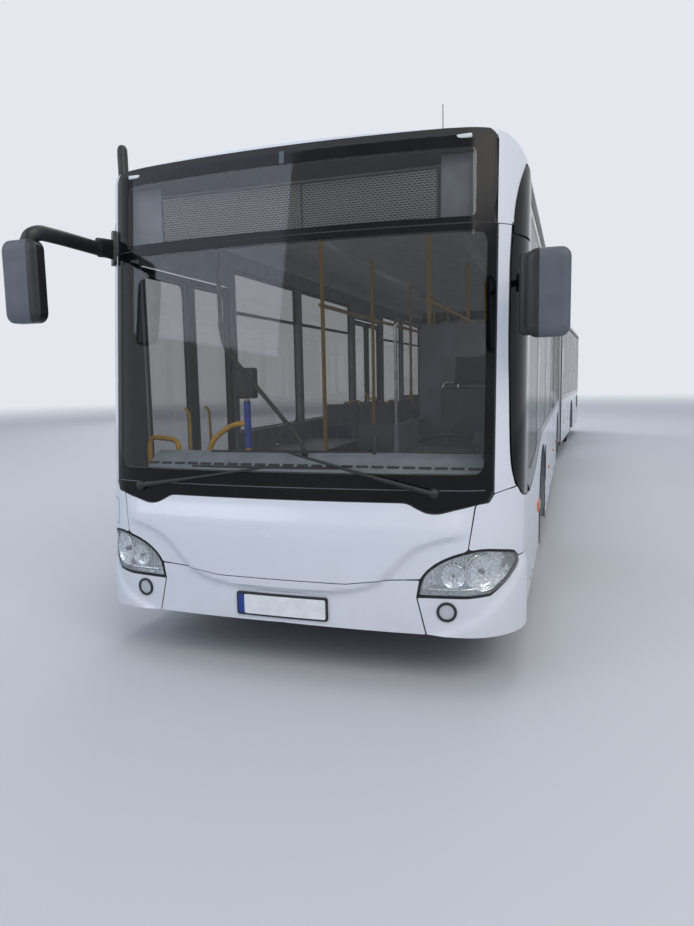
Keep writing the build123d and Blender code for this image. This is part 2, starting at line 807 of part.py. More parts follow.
# Rows in the rear section: station, side, base height
rear_rows = [
    (11250, 1, floor_top), (12010, 1, floor_top), (12770, 1, floor_top), (13300, -1, floor_top),
    (podium_start + last_row_gap, 1, podium_top), (podium_start + last_row_gap, -1, podium_top),
]
rear_seats = []
for station, side, base in rear_rows:
    for x in (window_seat, aisle_seat):
        rear_seats.append(seat(side * x, station, base))
bench_station = bay_start - seat_depth - 100
for index in range(5):
    rear_seats.append(seat((index - 2) * (seat_width + 15), bench_station, podium_top))

# Driver's place
cabin_inner = 400
cabin_end = 1850
platform_top = 560
platform_start = 700
driver_cabin = block(cabin_inner, half_width - wall, platform_start, cabin_end, floor_top, platform_top)
driver_cabin += block(cabin_inner, half_width - wall, cabin_end - 30, cabin_end, floor_top, 2050)
driver_cabin += block(cabin_inner, cabin_inner + 30, 1000, cabin_end, floor_top, 1350)
driver_x = 830
dash_height = 1130
dash = side_prism([(235, 720), (235, 1090), (300, dash_height), (560, 1080), (640, 960), (560, 720)], 250, 1130)
dash += side_prism([(235, 900), (235, 1090), (300, dash_height), (420, 1060), (420, 900)], -1000, 260)
dash += block(350, 420, 300, 560, floor_top, 721)
dash += block(1000, 1070, 300, 560, floor_top, 721)
dash += block(-60, 10, 300, 380, floor_top, 901)
dash += block(-900, -830, 300, 380, floor_top, 901)
column_tilt = 28
column_top = (driver_x, 760, 1180)
column_dir = (0, math.sin(math.radians(column_tilt)), math.cos(math.radians(column_tilt)))
column_length = 300
column_foot = tuple(top - column_length * part for top, part in zip(column_top, column_dir))
dash += rod(column_foot, column_top, 35)
dash += block(driver_x - 45, driver_x + 45, 600, 700, column_foot[2] - 20, column_foot[2] + 60)
dash &= front_body(wall + 2, 0, front_end, crown=0)

wheel_radius = 225
grip_radius = 15
wheel_plane = Plane(origin=column_top, x_dir=(1, 0, 0), z_dir=column_dir)
steering_wheel = wheel_plane * (Pos(0, 0, 40) * Torus(wheel_radius, grip_radius))
steering_wheel += wheel_plane * (Pos(0, 0, 22) * Cylinder(50, 42))
for angle in (90, 210, 330):
    spoke = Rot(0, 0, angle) * Pos(wheel_radius / 2, 0, 32) * Box(wheel_radius - 5, 34, 12)
    steering_wheel += wheel_plane * spoke
driver_seat = seat(driver_x, 1060, platform_top)

# Destination board behind the upper glass
board_half = 840
board_face = 305
board_back = 350
board_low = 2445
board_high = 2740
destination_board = block(-board_half, board_half, board_face, board_back, board_low, board_high)
for x in (-600, 600):
    destination_board += block(x - 30, x + 30, board_face + 15, board_back - 5, board_high - 1, ceiling)

# Handrails: posts from floor to ceiling, and two long rails
pole_radius = 17
front_poles = [(440, 2000), (440, 4100), (440, 5700), (440, 7100), (-440, 2000), (-440, 3500), (-440, 5250),
               (-440, 6800), (-440, 8000), (440, 9400), (-440, 9400)]
rear_poles = [(440, 11200), (-440, 11200), (440, 12700), (-440, 13200), (440, 13900), (-440, 13900)]
rail_height = 2250
rail_x_place = 440


def rail_set(poles, s0, s1):
    # each pole is whole, and the long rail is cut round it
    rails_out = []
    for side in (-1, 1):
        rail = rod((side * rail_x_place, s0, rail_height), (side * rail_x_place, s1, rail_height), pole_radius)
        for x, station in poles:
            if x * side > 0:
                pole = upright(x, station, floor_top + seat_gap, ceiling - seat_gap, pole_radius)
                rail -= upright(x, station, floor_top, ceiling, pole_radius + seat_gap)
                rails_out.append(pole)
        rails_out += rail.solids()
    return rails_out


rail_end = 50
front_handrails = rail_set(front_poles, 2000 - rail_end, 9400 + rail_end)
rear_handrails = rail_set(rear_poles, 11200 - rail_end, 13900 + rail_end)

# Roof equipment
pod_top = 3120
pod_half = 900
front_pod_start = 4300
front_pod_length = 2700
rear_pod_start = 12300
rear_pod_length = 2500


pod_round = 60
pod_slot_depth = 12
pod_slot_height = 14
pod_slot_low = 2960
pod_slot_pitch = 26
pod_slot_count = 4
pod_slot_margin = 350
fan_radius = 250
fan_depth = 20
fan_hub = 70
fan_inset = 700


def roof_pod(s0, s1):
    pod = block(-pod_half, pod_half, s0, s1, roof_edge - 5, pod_top)
    pod = fillet(pod.edges().group_by(Axis.Z)[-1], pod_round)
    for index in range(pod_slot_count):
        low = pod_slot_low + index * pod_slot_pitch
        for side in (-1, 1):
            inner, outer = sorted((side * (pod_half - pod_slot_depth), side * (pod_half + 10)))
            pod -= block(inner, outer, s0 + pod_slot_margin, s1 - pod_slot_margin, low, low + pod_slot_height)
    for station in (s0 + fan_inset, s1 - fan_inset):
        well = upright(0, station, pod_top - fan_depth, pod_top + 10, fan_radius)
        pod -= well - upright(0, station, 0, pod_top + 20, fan_hub)
    return pod - tube(-seat_gap, s0 - 100, s1 + 100, 0)


front_roof_pod = roof_pod(front_pod_start, front_pod_start + front_pod_length)
rear_roof_pod = roof_pod(rear_pod_start, rear_pod_start + rear_pod_length)

# Aerials: a stub at the right front corner and a whip on a boss
aerial_inset = 145
aerial_station = 372
aerial_radius = 31
aerial_top = 3097
whip_x = 641
whip_station = 1500
whip_boss = 24
whip_boss_rise = 45
whip_radius = 4
whip_top = 3490
aerial = upright(-half_width + aerial_inset, aerial_station, side_top, aerial_top, aerial_radius)
aerial = fillet(aerial.edges().sort_by(Axis.Z)[-1], aerial_radius / 2)
aerial -= front_body(-seat_gap, skirt_bottom, mask_end)
boss_top = roof_edge + roof_crown + whip_boss_rise
whip = upright(whip_x, whip_station, side_top, boss_top, whip_boss) - tube(-seat_gap, 1000, 2000, 0)
whip += upright(whip_x, whip_station, boss_top - 5, whip_top, whip_radius)
aerials = [aerial, whip]

# Mirrors: the left one's arm is short and lies behind its housing, the right one hangs from a long
# thick arm. x is counted out from the body's side.
mirror_round = 18
mirror_foot_thickness = 30
left_arm_radius = 18
left_shell = (25, 225, 10, 90, 1836, 2247)
left_arm = [(-20, 430, 2140), (70, 85, 2140)]
left_foot_zone = (-40, -5, 2090, 2190)
right_arm_radius = 36
right_shell = (-46, 211, -290, -215, 1994, 2440)
right_arm = [(-92, 299, 2450), (20, -225, 2490), (75, -252, 2420)]
right_foot_zone = (-130, -80, 2385, 2535)
foot_shell = layer(-mirror_foot_thickness, -seat_gap, mask_end)


def mirror_piece(shell_box, arm, arm_radius, foot_zone, side):
    x0, x1, s0, s1, z0, z1 = shell_box
    piece = fillet(block(half_width + x0, half_width + x1, s0, s1, z0, z1).edges(), mirror_round)
    points = [(half_width + x, s, z) for x, s, z in arm]
    for start, end in zip(points, points[1:]):
        piece += rod(start, end, arm_radius)
    x0, x1, z0, z1 = foot_zone
    piece += foot_shell & block(half_width + x0, half_width + x1, -100, mask_end, z0, z1)
    piece -= front_body(-seat_gap, skirt_bottom, mask_end)
    return piece if side > 0 else mirrored(piece)


mirrors = [
    mirror_piece(left_shell, left_arm, left_arm_radius, left_foot_zone, 1),
    mirror_piece(right_shell, right_arm, right_arm_radius, right_foot_zone, -1),
]


# Wipers, lying on layers outside the screen

def strip(start, end, half_height):
    dx = end[0] - start[0]
    dz = end[1] - start[1]
    length = math.hypot(dx, dz)
    nx = -dz / length * half_height
    nz = dx / length * half_height
    return front_prism([
        (start[0] + nx, start[1] + nz), (end[0] + nx, end[1] + nz),
        (end[0] - nx, end[1] - nz), (start[0] - nx, start[1] - nz)], -400, 400)


blade_layer = layer(-26, -2, mask_end)
arm_layer = layer(-44, -24, mask_end)
foot_layer = layer(-44, -seat_gap, mask_end)
# Wipers: pivot, arm tip, blade ends, each as x and z
wiper_table = [
    ((843, 1059), (48, 1270), (-415, 1266), (511, 1274)),
    ((-914, 1053), (-85, 1182), (-544, 1179), (375, 1184)),
]
wipers = []
for pivot, tip, blade_start, blade_end in wiper_table:
    foot = Pos(pivot[0], 0, pivot[1]) * Rot(90, 0, 0) * Cylinder(26, 900)
    piece = (arm_layer & strip(pivot, tip, 13)) + (blade_layer & strip(blade_start, blade_end, 9))
    piece += foot_layer & foot
    wipers.append(piece)

# Placing: the front section only shifts, the rear section also swings about the pivot
front_place = Pos(0, front_y, 0)
rear_place = Pos(0, front_y + pivot_station, 0) * Rot(0, 0, -rest_swing) * Pos(0, -pivot_station, 0)
places = {"front": front_place, "rear": rear_place}


def as_solids(shape):
    pieces = shape if isinstance(shape, list) else [shape]
    solids = []
    for piece in pieces:
        solids.extend(piece.solids())
    return solids


def put(name, shape, group):
    solids = [places[group] * solid for solid in as_solids(shape)]
    out = solids[0] if len(solids) == 1 else Compound(children=solids)
    export_step(out, f"parts/{name}.step")


# Nodes: name, shape, group
nodes = [
    ("front_left_side", front_left_side, "front"),
    ("front_right_side", front_right_side, "front"),
    ("front_roof", front_roof, "front"),
    ("front_floor", front_floor, "front"),
    ("front_windows", side_glass, "front"),
    ("front_mask", front_mask, "front"),
    ("front_brow", front_brow, "front"),
    ("windscreen", windscreen, "front"),
    ("destination_board", destination_board, "front"),
    ("front_bumper", front_bumper, "front"),
    ("front_lamps", front_lamps, "front"),
    ("front_joint_frame", front_joint_frame, "front"),
    ("wipers", wipers, "front"),
    ("mirrors", mirrors, "front"),
    ("aerials", aerials, "front"),
    ("front_roof_pod", front_roof_pod, "front"),
    ("dashboard", dash, "front"),
    ("steering_wheel", steering_wheel, "front"),
    ("driver_cabin", driver_cabin, "front"),
    ("driver_seat", driver_seat, "front"),
    ("front_seats", front_seats, "front"),
    ("front_handrails", front_handrails, "front"),
    ("front_axle", front_axle, "front"),
    ("middle_axle", middle_axle, "front"),
    ("left_knuckle", knuckle(1), "front"),
    ("right_knuckle", knuckle(-1), "front"),
    ("bellows", bellows, "front"),
    ("rear_left_side", rear_left_side, "rear"),
    ("rear_right_side", rear_right_side, "rear"),
    ("rear_roof", rear_roof, "rear"),
    ("rear_floor", rear_floor, "rear"),
    ("rear_windows", rear_windows, "rear"),
    ("tail_panel", tail_panel, "rear"),
    ("tail_lamps", tail_lamps, "rear"),
    ("engine_lid", engine_lid, "rear"),
    ("rear_joint_frame", rear_joint_frame, "rear"),
    ("rear_roof_pod", rear_roof_pod, "rear"),
    ("rear_seats", rear_seats, "rear"),
    ("rear_handrails", rear_handrails, "rear"),
    ("engine", engine, "rear"),
    ("rear_axle", rear_axle, "rear"),
]
for side, word in ((1, "left"), (-1, "right")):
    rubber, rim = front_wheel(side)
    nodes.append((f"front_{word}_tyre", rubber, "front"))
    nodes.append((f"front_{word}_rim", rim, "front"))
    rubber, rim = twin_wheel(middle_axle_station, side)
    nodes.append((f"middle_{word}_tyres", rubber, "front"))
    nodes.append((f"middle_{word}_rims", rim, "front"))
    rubber, rim = twin_wheel(rear_axle_station, side)
    nodes.append((f"rear_{word}_tyres", rubber, "rear"))
    nodes.append((f"rear_{word}_rims", rim, "rear"))
for name, (leaf, group) in door_leaves.items():
    nodes.append((name, leaf, group))
for name, shape, group in nodes:
    put(name, shape, group)
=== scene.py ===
# An articulated city bus, dressed over its fixed frame
# Metres. x points to the bus's left, y backwards from the front end, z up from the road.
import math

import bmesh
import bpy
from mathutils import Matrix, Vector


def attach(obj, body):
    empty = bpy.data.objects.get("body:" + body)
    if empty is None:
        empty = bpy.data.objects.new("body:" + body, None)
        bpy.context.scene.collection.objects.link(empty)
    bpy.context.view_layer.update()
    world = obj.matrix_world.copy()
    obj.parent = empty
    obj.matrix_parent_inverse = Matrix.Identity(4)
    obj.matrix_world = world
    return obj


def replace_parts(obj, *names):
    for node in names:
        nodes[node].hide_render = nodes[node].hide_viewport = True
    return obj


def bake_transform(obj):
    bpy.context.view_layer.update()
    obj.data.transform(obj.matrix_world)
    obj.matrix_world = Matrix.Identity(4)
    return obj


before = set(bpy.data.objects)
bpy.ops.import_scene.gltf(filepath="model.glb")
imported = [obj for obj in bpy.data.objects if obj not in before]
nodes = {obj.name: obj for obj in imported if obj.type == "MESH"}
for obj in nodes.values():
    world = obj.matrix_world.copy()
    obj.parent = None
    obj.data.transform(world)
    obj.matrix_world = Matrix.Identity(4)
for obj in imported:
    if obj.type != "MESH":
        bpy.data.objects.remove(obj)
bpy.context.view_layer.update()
print("frame loaded")

# What the whole bus shares. A station is a distance behind the foremost point.
bus = {
    "frontY": -8.960, "halfWidth": 1.275, "sideTop": 2.720, "roofCorner": 0.180, "crown": 0.020,
    "frontEnd": 9.705, "rearStart": 10.905, "pivot": 10.305, "swing": -2.75,
    # thickness of panels and glass, how far plates lie off the solids and fittings off them, and the joints' width
    "panel": 0.003, "glass": 0.0055, "lift": 0.0003, "overPanel": 0.0035, "gap": 0.006,
}
bow = {"radius": 7.0, "corner": 0.350, "rakeStart": 0.800, "rake": 5.05, "edgeRound": 0.045, "edgeStart": 2.868}
bow["rakeSlope"] = math.tan(math.radians(bow["rake"]))
bow["reach"] = bow["radius"] - bow["corner"]
bow["cornerX"] = bus["halfWidth"] - bow["corner"]
bow["turn"] = math.asin(bow["cornerX"] / bow["reach"])
bow["cornerS"] = bow["radius"] - bow["reach"] * math.cos(bow["turn"])
bow["length"] = bow["radius"] * bow["turn"]
bow["sideRun"] = bow["length"] + bow["corner"] * (math.pi / 2 - bow["turn"])

pivotPoint = Vector((0, bus["frontY"] + bus["pivot"], 0))
swingAngle = math.radians(bus["swing"])


def swung(share):
    turn = Matrix.Rotation(swingAngle * share, 4, "Z")
    return Matrix.Translation(pivotPoint) @ turn @ Matrix.Translation(-pivotPoint)


rearPlace = swung(1)
rearBodies = ("rear_section", "engine_lid", "rear_left_wheels", "rear_right_wheels", "door_3_front_leaf",
              "door_3_rear_leaf")


def at(x, station, z):
    return Vector((x, bus["frontY"] + station, z))


def runAcross(x):
    # distance along the bowed front at which the surface is x from the centreline
    across = abs(x)
    if across <= bow["radius"] * math.sin(bow["turn"]):
        run = bow["radius"] * math.asin(across / bow["radius"])
    else:
        angle = math.asin(min(1, (across - bow["cornerX"]) / bow["corner"]))
        run = bow["length"] + bow["corner"] * (angle - bow["turn"])
    return math.copysign(run, x)


def runAlong(station, z=0.0):
    # the same distance for a place given by its station, on the corner or the side wall behind it
    level = station - max(0.0, z - bow["rakeStart"]) * bow["rakeSlope"]
    if level >= bow["cornerS"]:
        return bow["sideRun"] + level - bow["cornerS"]
    return bow["length"] + bow["corner"] * (math.acos((bow["cornerS"] - level) / bow["corner"]) - bow["turn"])


def onFront(run, height, out=0.0):
    side, across = math.copysign(1, run), abs(run)
    radius = bow["radius"] + out
    if across <= bow["length"]:
        angle = across / bow["radius"]
        x, station = radius * math.sin(angle), bow["radius"] - radius * math.cos(angle)
    elif across <= bow["sideRun"]:
        angle = bow["turn"] + (across - bow["length"]) / bow["corner"]
        x = bow["cornerX"] + (bow["corner"] + out) * math.sin(angle)
        station = bow["cornerS"] - (bow["corner"] + out) * math.cos(angle)
    else:
        x, station = bus["halfWidth"] + out, bow["cornerS"] + across - bow["sideRun"]
    z = height
    if height > bow["edgeStart"]:
        bend = min((height - bow["edgeStart"]) / bow["edgeRound"], math.pi / 2)
        beyond = max(0.0, height - bow["edgeStart"] - bow["edgeRound"] * math.pi / 2)
        z = bow["edgeStart"] + (bow["edgeRound"] + out) * math.sin(bend)
        station += (bow["edgeRound"] + out) * (1 - math.cos(bend)) + beyond
    station += max(0.0, z - bow["rakeStart"]) * bow["rakeSlope"]
    if z > bus["sideTop"]:
        rise = min(1.0, (z - bus["sideTop"]) / (bus["roofCorner"] + out))
        limit = bus["halfWidth"] - bus["roofCorner"] + (bus["roofCorner"] + out) * math.sqrt(max(0.0, 1 - rise * rise))
        x = min(x, limit)
    return at(side * x, station, z)


def onShell(girth, station, out=0.0):
    # girth runs over the roof from its middle, round the roof corner and down the side
    side, run = math.copysign(1, girth), abs(girth)
    flat = bus["halfWidth"] - bus["roofCorner"]
    top = bus["sideTop"] + bus["roofCorner"]
    quarter = bus["roofCorner"] * math.pi / 2
    if run <= flat:
        return at(side * run, station, top + out + bus["crown"] * (1 - (run / flat) ** 2))
    if run <= flat + quarter:
        angle = (run - flat) / bus["roofCorner"]
        reach = bus["roofCorner"] + out
        return at(side * (flat + reach * math.sin(angle)), station, bus["sideTop"] + reach * math.cos(angle))
    return at(side * (bus["halfWidth"] + out), station, bus["sideTop"] - (run - flat - quarter))


# Colour and shader helpers

def srgb(code):
    values = [int(code[i:i + 2], 16) / 255 for i in (1, 3, 5)]
    return (*[v / 12.92 if v <= 0.04045 else ((v + 0.055) / 1.055) ** 2.4 for v in values], 1.0)


def plug(tree, node, inputs):
    # an input takes a plain value, or another node's output
    for key, value in inputs.items():
        if isinstance(value, bpy.types.NodeSocket):
            tree.links.new(value, node.inputs[key])
        else:
            node.inputs[key].default_value = value


def addNode(tree, kind, inputs=None, **settings):
    node = tree.nodes.new(kind)
    for name, value in settings.items():
        setattr(node, name, value)
    plug(tree, node, inputs or {})
    return node


def startMaterial(name, **values):
    material = bpy.data.materials.new(name)
    material.use_nodes = True
    tree = material.node_tree
    shader = tree.nodes["Principled BSDF"]
    plug(tree, shader, {key.replace("_", " "): value for key, value in values.items()})
    place = addNode(tree, "ShaderNodeTexCoord")
    return material, tree, shader, place.outputs["Object"]


def perMetre(millimetres):
    # noise scale whose features are about that size
    return 1000 / millimetres


# Finishes

def coachEnamel(name, clean, faded, road):
    # two-pack enamel sprayed on aluminium and glass fibre: an even gloss over a long soft ripple,
    # and a grey film of road dirt that thins out upwards
    material, tree, shader, coords = startMaterial(name, IOR=1.5, Coat_Weight=0.4, Coat_Roughness=0.06)
    height = addNode(tree, "ShaderNodeSeparateXYZ", {"Vector": coords})
    low = addNode(tree, "ShaderNodeMapRange",
                  {"Value": height.outputs["Z"], "From Min": 1.15, "From Max": 0.3, "To Max": road})
    streaks = addNode(tree, "ShaderNodeTexNoise", {"Vector": coords, "Scale": perMetre(260), "Detail": 5.0})
    film = addNode(tree, "ShaderNodeMath", {0: low.outputs["Result"], 1: streaks.outputs["Fac"]}, operation="MULTIPLY")
    fade = addNode(tree, "ShaderNodeTexNoise", {"Vector": coords, "Scale": perMetre(1400), "Detail": 2.0})
    tone = addNode(tree, "ShaderNodeMix", {0: fade.outputs["Fac"], 6: srgb(clean), 7: srgb(faded)}, data_type="RGBA")
    dirty = addNode(tree, "ShaderNodeMix", {0: film.outputs["Value"], 6: tone.outputs[2], 7: srgb("#9c968b")},
                    data_type="RGBA")
    gloss = addNode(tree, "ShaderNodeMapRange", {"Value": streaks.outputs["Fac"], "To Min": 0.21, "To Max": 0.31})
    ripple = addNode(tree, "ShaderNodeTexNoise", {"Vector": coords, "Scale": perMetre(420), "Detail": 0.0})
    relief = addNode(tree, "ShaderNodeBump", {"Height": ripple.outputs["Fac"], "Strength": 0.3, "Distance": 0.004})
    plug(tree, shader,
         {"Base Color": dirty.outputs[2], "Roughness": gloss.outputs["Result"], "Normal": relief.outputs["Normal"]})
    return material


def glazing(name, code, dusty, alpha, ior):
    # float glass, hard and smooth. The index is raised above 1.52 because the see-through share also
    # thins the reflection, and the real pane mirrors the sky at full strength.
    material, tree, shader, coords = startMaterial(name, IOR=ior, Alpha=alpha)
    dust = addNode(tree, "ShaderNodeTexNoise", {"Vector": coords, "Scale": perMetre(260), "Detail": 3.0})
    tone = addNode(tree, "ShaderNodeMix", {0: dust.outputs["Fac"], 6: srgb(code), 7: srgb(dusty)}, data_type="RGBA")
    gloss = addNode(tree, "ShaderNodeMapRange", {"Value": dust.outputs["Fac"], "To Min": 0.0, "To Max": 0.06})
    plug(tree, shader, {"Base Color": tone.outputs[2], "Roughness": gloss.outputs["Result"]})
    return material


def skin(name, first, second, patch, gloss, grain, depth, **values):
    # two tones in soft patches (close on most finishes; on the chrome far apart, as painted glints), gloss that varies
    # with them, and a fine grain in relief
    material, tree, shader, coords = startMaterial(name, **values)
    patches = addNode(tree, "ShaderNodeTexNoise", {"Vector": coords, "Scale": perMetre(patch), "Detail": 5.0})
    share = addNode(tree, "ShaderNodeMapRange", {"Value": patches.outputs["Fac"], "From Min": 0.35, "From Max": 0.65})
    tone = addNode(tree, "ShaderNodeMix", {0: share.outputs["Result"], 6: srgb(first), 7: srgb(second)},
                   data_type="RGBA")
    dull = addNode(tree, "ShaderNodeMapRange", {"Value": patches.outputs["Fac"], "From Min": 0.3, "From Max": 0.7,
                                                "To Min": gloss - 0.06, "To Max": gloss + 0.08})
    grains = addNode(tree, "ShaderNodeTexNoise", {"Vector": coords, "Scale": perMetre(grain), "Detail": 3.0})
    relief = addNode(tree, "ShaderNodeBump", {"Height": grains.outputs["Fac"], "Strength": 0.25, "Distance": depth})
    plug(tree, shader,
         {"Base Color": tone.outputs[2], "Roughness": dull.outputs["Result"], "Normal": relief.outputs["Normal"]})
    return material


def lensPlastic(name, code, deep, alpha, pitch):
    # injection-moulded polycarbonate: clear depth, with moulded ribs across it that catch the light
    material, tree, shader, coords = startMaterial(name, IOR=1.585, Alpha=alpha, Roughness=0.05)
    cloud = addNode(tree, "ShaderNodeTexNoise", {"Vector": coords, "Scale": perMetre(40), "Detail": 2.0})
    tone = addNode(tree, "ShaderNodeMix", {0: cloud.outputs["Fac"], 6: srgb(code), 7: srgb(deep)}, data_type="RGBA")
    ribs = addNode(tree, "ShaderNodeTexWave", {"Vector": coords, "Scale": perMetre(pitch) / 2}, bands_direction="X")
    relief = addNode(tree, "ShaderNodeBump", {"Height": ribs.outputs["Fac"], "Strength": 0.25, "Distance": 0.0008})
    plug(tree, shader, {"Base Color": tone.outputs[2], "Normal": relief.outputs["Normal"]})
    return material


def moquette():
    # woven plush for bus seats: a blue ground with small coloured flecks, pile about 2 mm
    material, tree, shader, coords = startMaterial("WovenPlush", Roughness=0.9, Sheen_Weight=0.35)
    cells = addNode(tree, "ShaderNodeTexVoronoi", {"Vector": coords, "Scale": perMetre(26)})
    fleck = addNode(tree, "ShaderNodeMapRange", {"Value": cells.outputs["Distance"], "From Min": 0.2, "From Max": 0.12})
    hue = addNode(tree, "ShaderNodeSeparateColor", {"Color": cells.outputs["Color"]})
    pick = addNode(tree, "ShaderNodeMath", {0: hue.outputs["Red"], 1: 0.5}, operation="GREATER_THAN")
    bright = addNode(tree, "ShaderNodeMix", {0: pick.outputs["Value"], 6: srgb("#c7a338"), 7: srgb("#5f86c4")},
                     data_type="RGBA")
    pile = addNode(tree, "ShaderNodeTexNoise", {"Vector": coords, "Scale": perMetre(6), "Detail": 3.0})
    ground = addNode(tree, "ShaderNodeMix", {0: pile.outputs["Fac"], 6: srgb("#1c3063"), 7: srgb("#2b4480")},
                     data_type="RGBA")
    cover = addNode(tree, "ShaderNodeMix", {0: fleck.outputs["Result"], 6: ground.outputs[2], 7: bright.outputs[2]},
                    data_type="RGBA")
    weave = addNode(tree, "ShaderNodeTexWave", {"Vector": coords, "Scale": perMetre(18), "Distortion": 1.5})
    relief = addNode(tree, "ShaderNodeBump", {"Height": weave.outputs["Fac"], "Strength": 0.4, "Distance": 0.0006})
    plug(tree, shader, {"Base Color": cover.outputs[2], "Normal": relief.outputs["Normal"]})
    return material


def floorSandwich():
    # safety vinyl with mineral chips above, painted plywood and steel below
    material, tree, shader, coords = startMaterial("FloorSandwich", IOR=1.5, Roughness=0.6)
    chips = addNode(tree, "ShaderNodeTexVoronoi", {"Vector": coords, "Scale": perMetre(9)})
    spread = addNode(tree, "ShaderNodeMapRange", {"Value": chips.outputs["Distance"], "To Max": 0.5})
    vinyl = addNode(tree, "ShaderNodeMix", {0: spread.outputs["Result"], 6: srgb("#6b7076"), 7: srgb("#3a3e44")},
                    data_type="RGBA")
    facing = addNode(tree, "ShaderNodeNewGeometry")
    split = addNode(tree, "ShaderNodeSeparateXYZ", {"Vector": facing.outputs["Normal"]})
    top = addNode(tree, "ShaderNodeMath", {0: split.outputs["Z"], 1: 0.5}, operation="GREATER_THAN")
    both = addNode(tree, "ShaderNodeMix", {0: top.outputs["Value"], 6: srgb("#1f1f21"), 7: vinyl.outputs[2]},
                   data_type="RGBA")
    relief = addNode(tree, "ShaderNodeBump",
                     {"Height": chips.outputs["Distance"], "Strength": 0.25, "Distance": 0.0006})
    plug(tree, shader, {"Base Color": both.outputs[2], "Normal": relief.outputs["Normal"]})
    return material


def signGrille():
    # the dark lamp board of the destination sign: rows of short louvres 12 mm apart
    material, tree, shader, coords = startMaterial("SignLouvres", Roughness=0.5, IOR=1.5)
    flat = addNode(tree, "ShaderNodeMapping", {"Vector": coords, "Rotation": (math.radians(90), 0, 0)})
    rows = addNode(tree, "ShaderNodeTexBrick",
                   {"Vector": flat.outputs["Vector"], "Scale": 1.0, "Brick Width": 0.027, "Row Height": 0.0125,
                    "Mortar Size": 0.0024, "Mortar Smooth": 0.3, "Color1": srgb("#141517"), "Color2": srgb("#212326"),
                    "Mortar": srgb("#a19d98")})
    relief = addNode(tree, "ShaderNodeBump", {"Height": rows.outputs["Fac"], "Strength": 0.5, "Distance": 0.002})
    plug(tree, shader, {"Base Color": rows.outputs["Color"], "Normal": relief.outputs["Normal"]})
    return material


def twoZones(name, dark, white, corner, bend):
    # one pressed shell in two zones: shadow primer under the glass, body white beyond a rounded corner (x, height)
    material, tree, shader, coords = startMaterial(name, IOR=1.5)
    split = addNode(tree, "ShaderNodeSeparateXYZ", {"Vector": coords})
    across = addNode(tree, "ShaderNodeMath", {0: split.outputs["X"]}, operation="ABSOLUTE")
    wide = addNode(tree, "ShaderNodeMapRange",
                   {"Value": across.outputs["Value"], "From Min": corner[0] - bend, "From Max": corner[0]})
    high = addNode(tree, "ShaderNodeMapRange",
                   {"Value": split.outputs["Z"], "From Min": corner[1] - bend, "From Max": corner[1]})
    both = addNode(tree, "ShaderNodeCombineXYZ", {"X": wide.outputs["Result"], "Y": high.outputs["Result"]})
    reach = addNode(tree, "ShaderNodeVectorMath", {0: both.outputs["Vector"]}, operation="LENGTH")
    outside = addNode(tree, "ShaderNodeMath", {0: reach.outputs["Value"], 1: 0.999}, operation="GREATER_THAN")
    cloud = addNode(tree, "ShaderNodeTexNoise", {"Vector": coords, "Scale": perMetre(260), "Detail": 4.0})
    soft = addNode(tree, "ShaderNodeMix", {0: cloud.outputs["Fac"], 6: srgb(white), 7: srgb("#d9dce4")},
                   data_type="RGBA")
    tone = addNode(tree, "ShaderNodeMix", {0: outside.outputs["Value"], 6: srgb(dark), 7: soft.outputs[2]},
                   data_type="RGBA")
    gloss = addNode(tree, "ShaderNodeMapRange", {"Value": outside.outputs["Value"], "To Min": 0.6, "To Max": 0.28})
    grains = addNode(tree, "ShaderNodeTexNoise", {"Vector": coords, "Scale": perMetre(6), "Detail": 2.0})
    relief = addNode(tree, "ShaderNodeBump", {"Height": grains.outputs["Fac"], "Strength": 0.05, "Distance": 0.0003})
    plug(tree, shader,
         {"Base Color": tone.outputs[2], "Roughness": gloss.outputs["Result"], "Normal": relief.outputs["Normal"]})
    return material


# Paint and glass
enamelWhite = coachEnamel("CoachEnamelWhite", "#e3e6ee", "#d3d8e2", 0.32)
podPaint = coachEnamel("PodEnamelGrey", "#c4c8ce", "#b4b8bf", 0.0)
screenGlass = glazing("LaminatedScreen", "#04080a", "#12181b", 0.20, 2.0)    # faint green-grey, bright reflections
tintGlass = glazing("TintedSideGlass", "#05070a", "#15181b", 0.42, 1.9)      # smoky, darker than the screen
cabinGlass = glazing("CabinGlass", "#0c1214", "#2a3032", 0.10, 1.8)
# ceramic print fired on the glass: deep black with a wet gloss; the index is low because the plain
# studio it mirrors is far brighter than a street
blackGlass = skin("CeramicPrintedGlass", "#050608", "#101216", 200, 0.10, 400, 0.0001, IOR=1.27)
browPaint = twoZones("BrowTwoTone", "#17181b", "#e3e6ee", (1.138, 2.907), 0.075)
tailPaint = twoZones("TailTwoTone", "#2b2d31", "#e3e6ee", (9.0, 2.694), 0.001)
# Plastics: moulded ABS, polypropylene and laminate, each with an eroded grain that keeps the gloss low
innerLining = skin("LiningLaminate", "#8b9095", "#7c8186", 120, 0.55, 2.5, 0.0003, IOR=1.5)
frameDark = skin("ShadowPrimer", "#232529", "#1b1c20", 120, 0.6, 4.0, 0.0003, IOR=1.5)
# the dash-top pad is the same plastic as the dash below, painted lighter: the difference is painted sky light falling
# through the screen
dashTopPaintedSkylight = skin("DashTopSkinPaintedSkylight", "#a3aeb4", "#929ea5", 90, 0.6, 2.0, 0.0004, IOR=1.5)
dashPlastic = skin("DashSoftSkin", "#6a767c", "#5b666c", 90, 0.6, 2.0, 0.0005, IOR=1.5)
dashDark = skin("DashDarkSkin", "#25282b", "#1d1f22", 90, 0.6, 2.0, 0.0005, IOR=1.5)
blackPlastic = skin("MouldedBlack", "#121315", "#1f2023", 60, 0.45, 1.6, 0.0003, IOR=1.5)
mirrorGrey = skin("MirrorHousingGrey", "#5a6068", "#4e545c", 140, 0.42, 1.8, 0.0003, IOR=1.5)
mirrorBlack = skin("MirrorArmBlack", "#131417", "#1e1f23", 90, 0.4, 1.8, 0.0003, IOR=1.5)
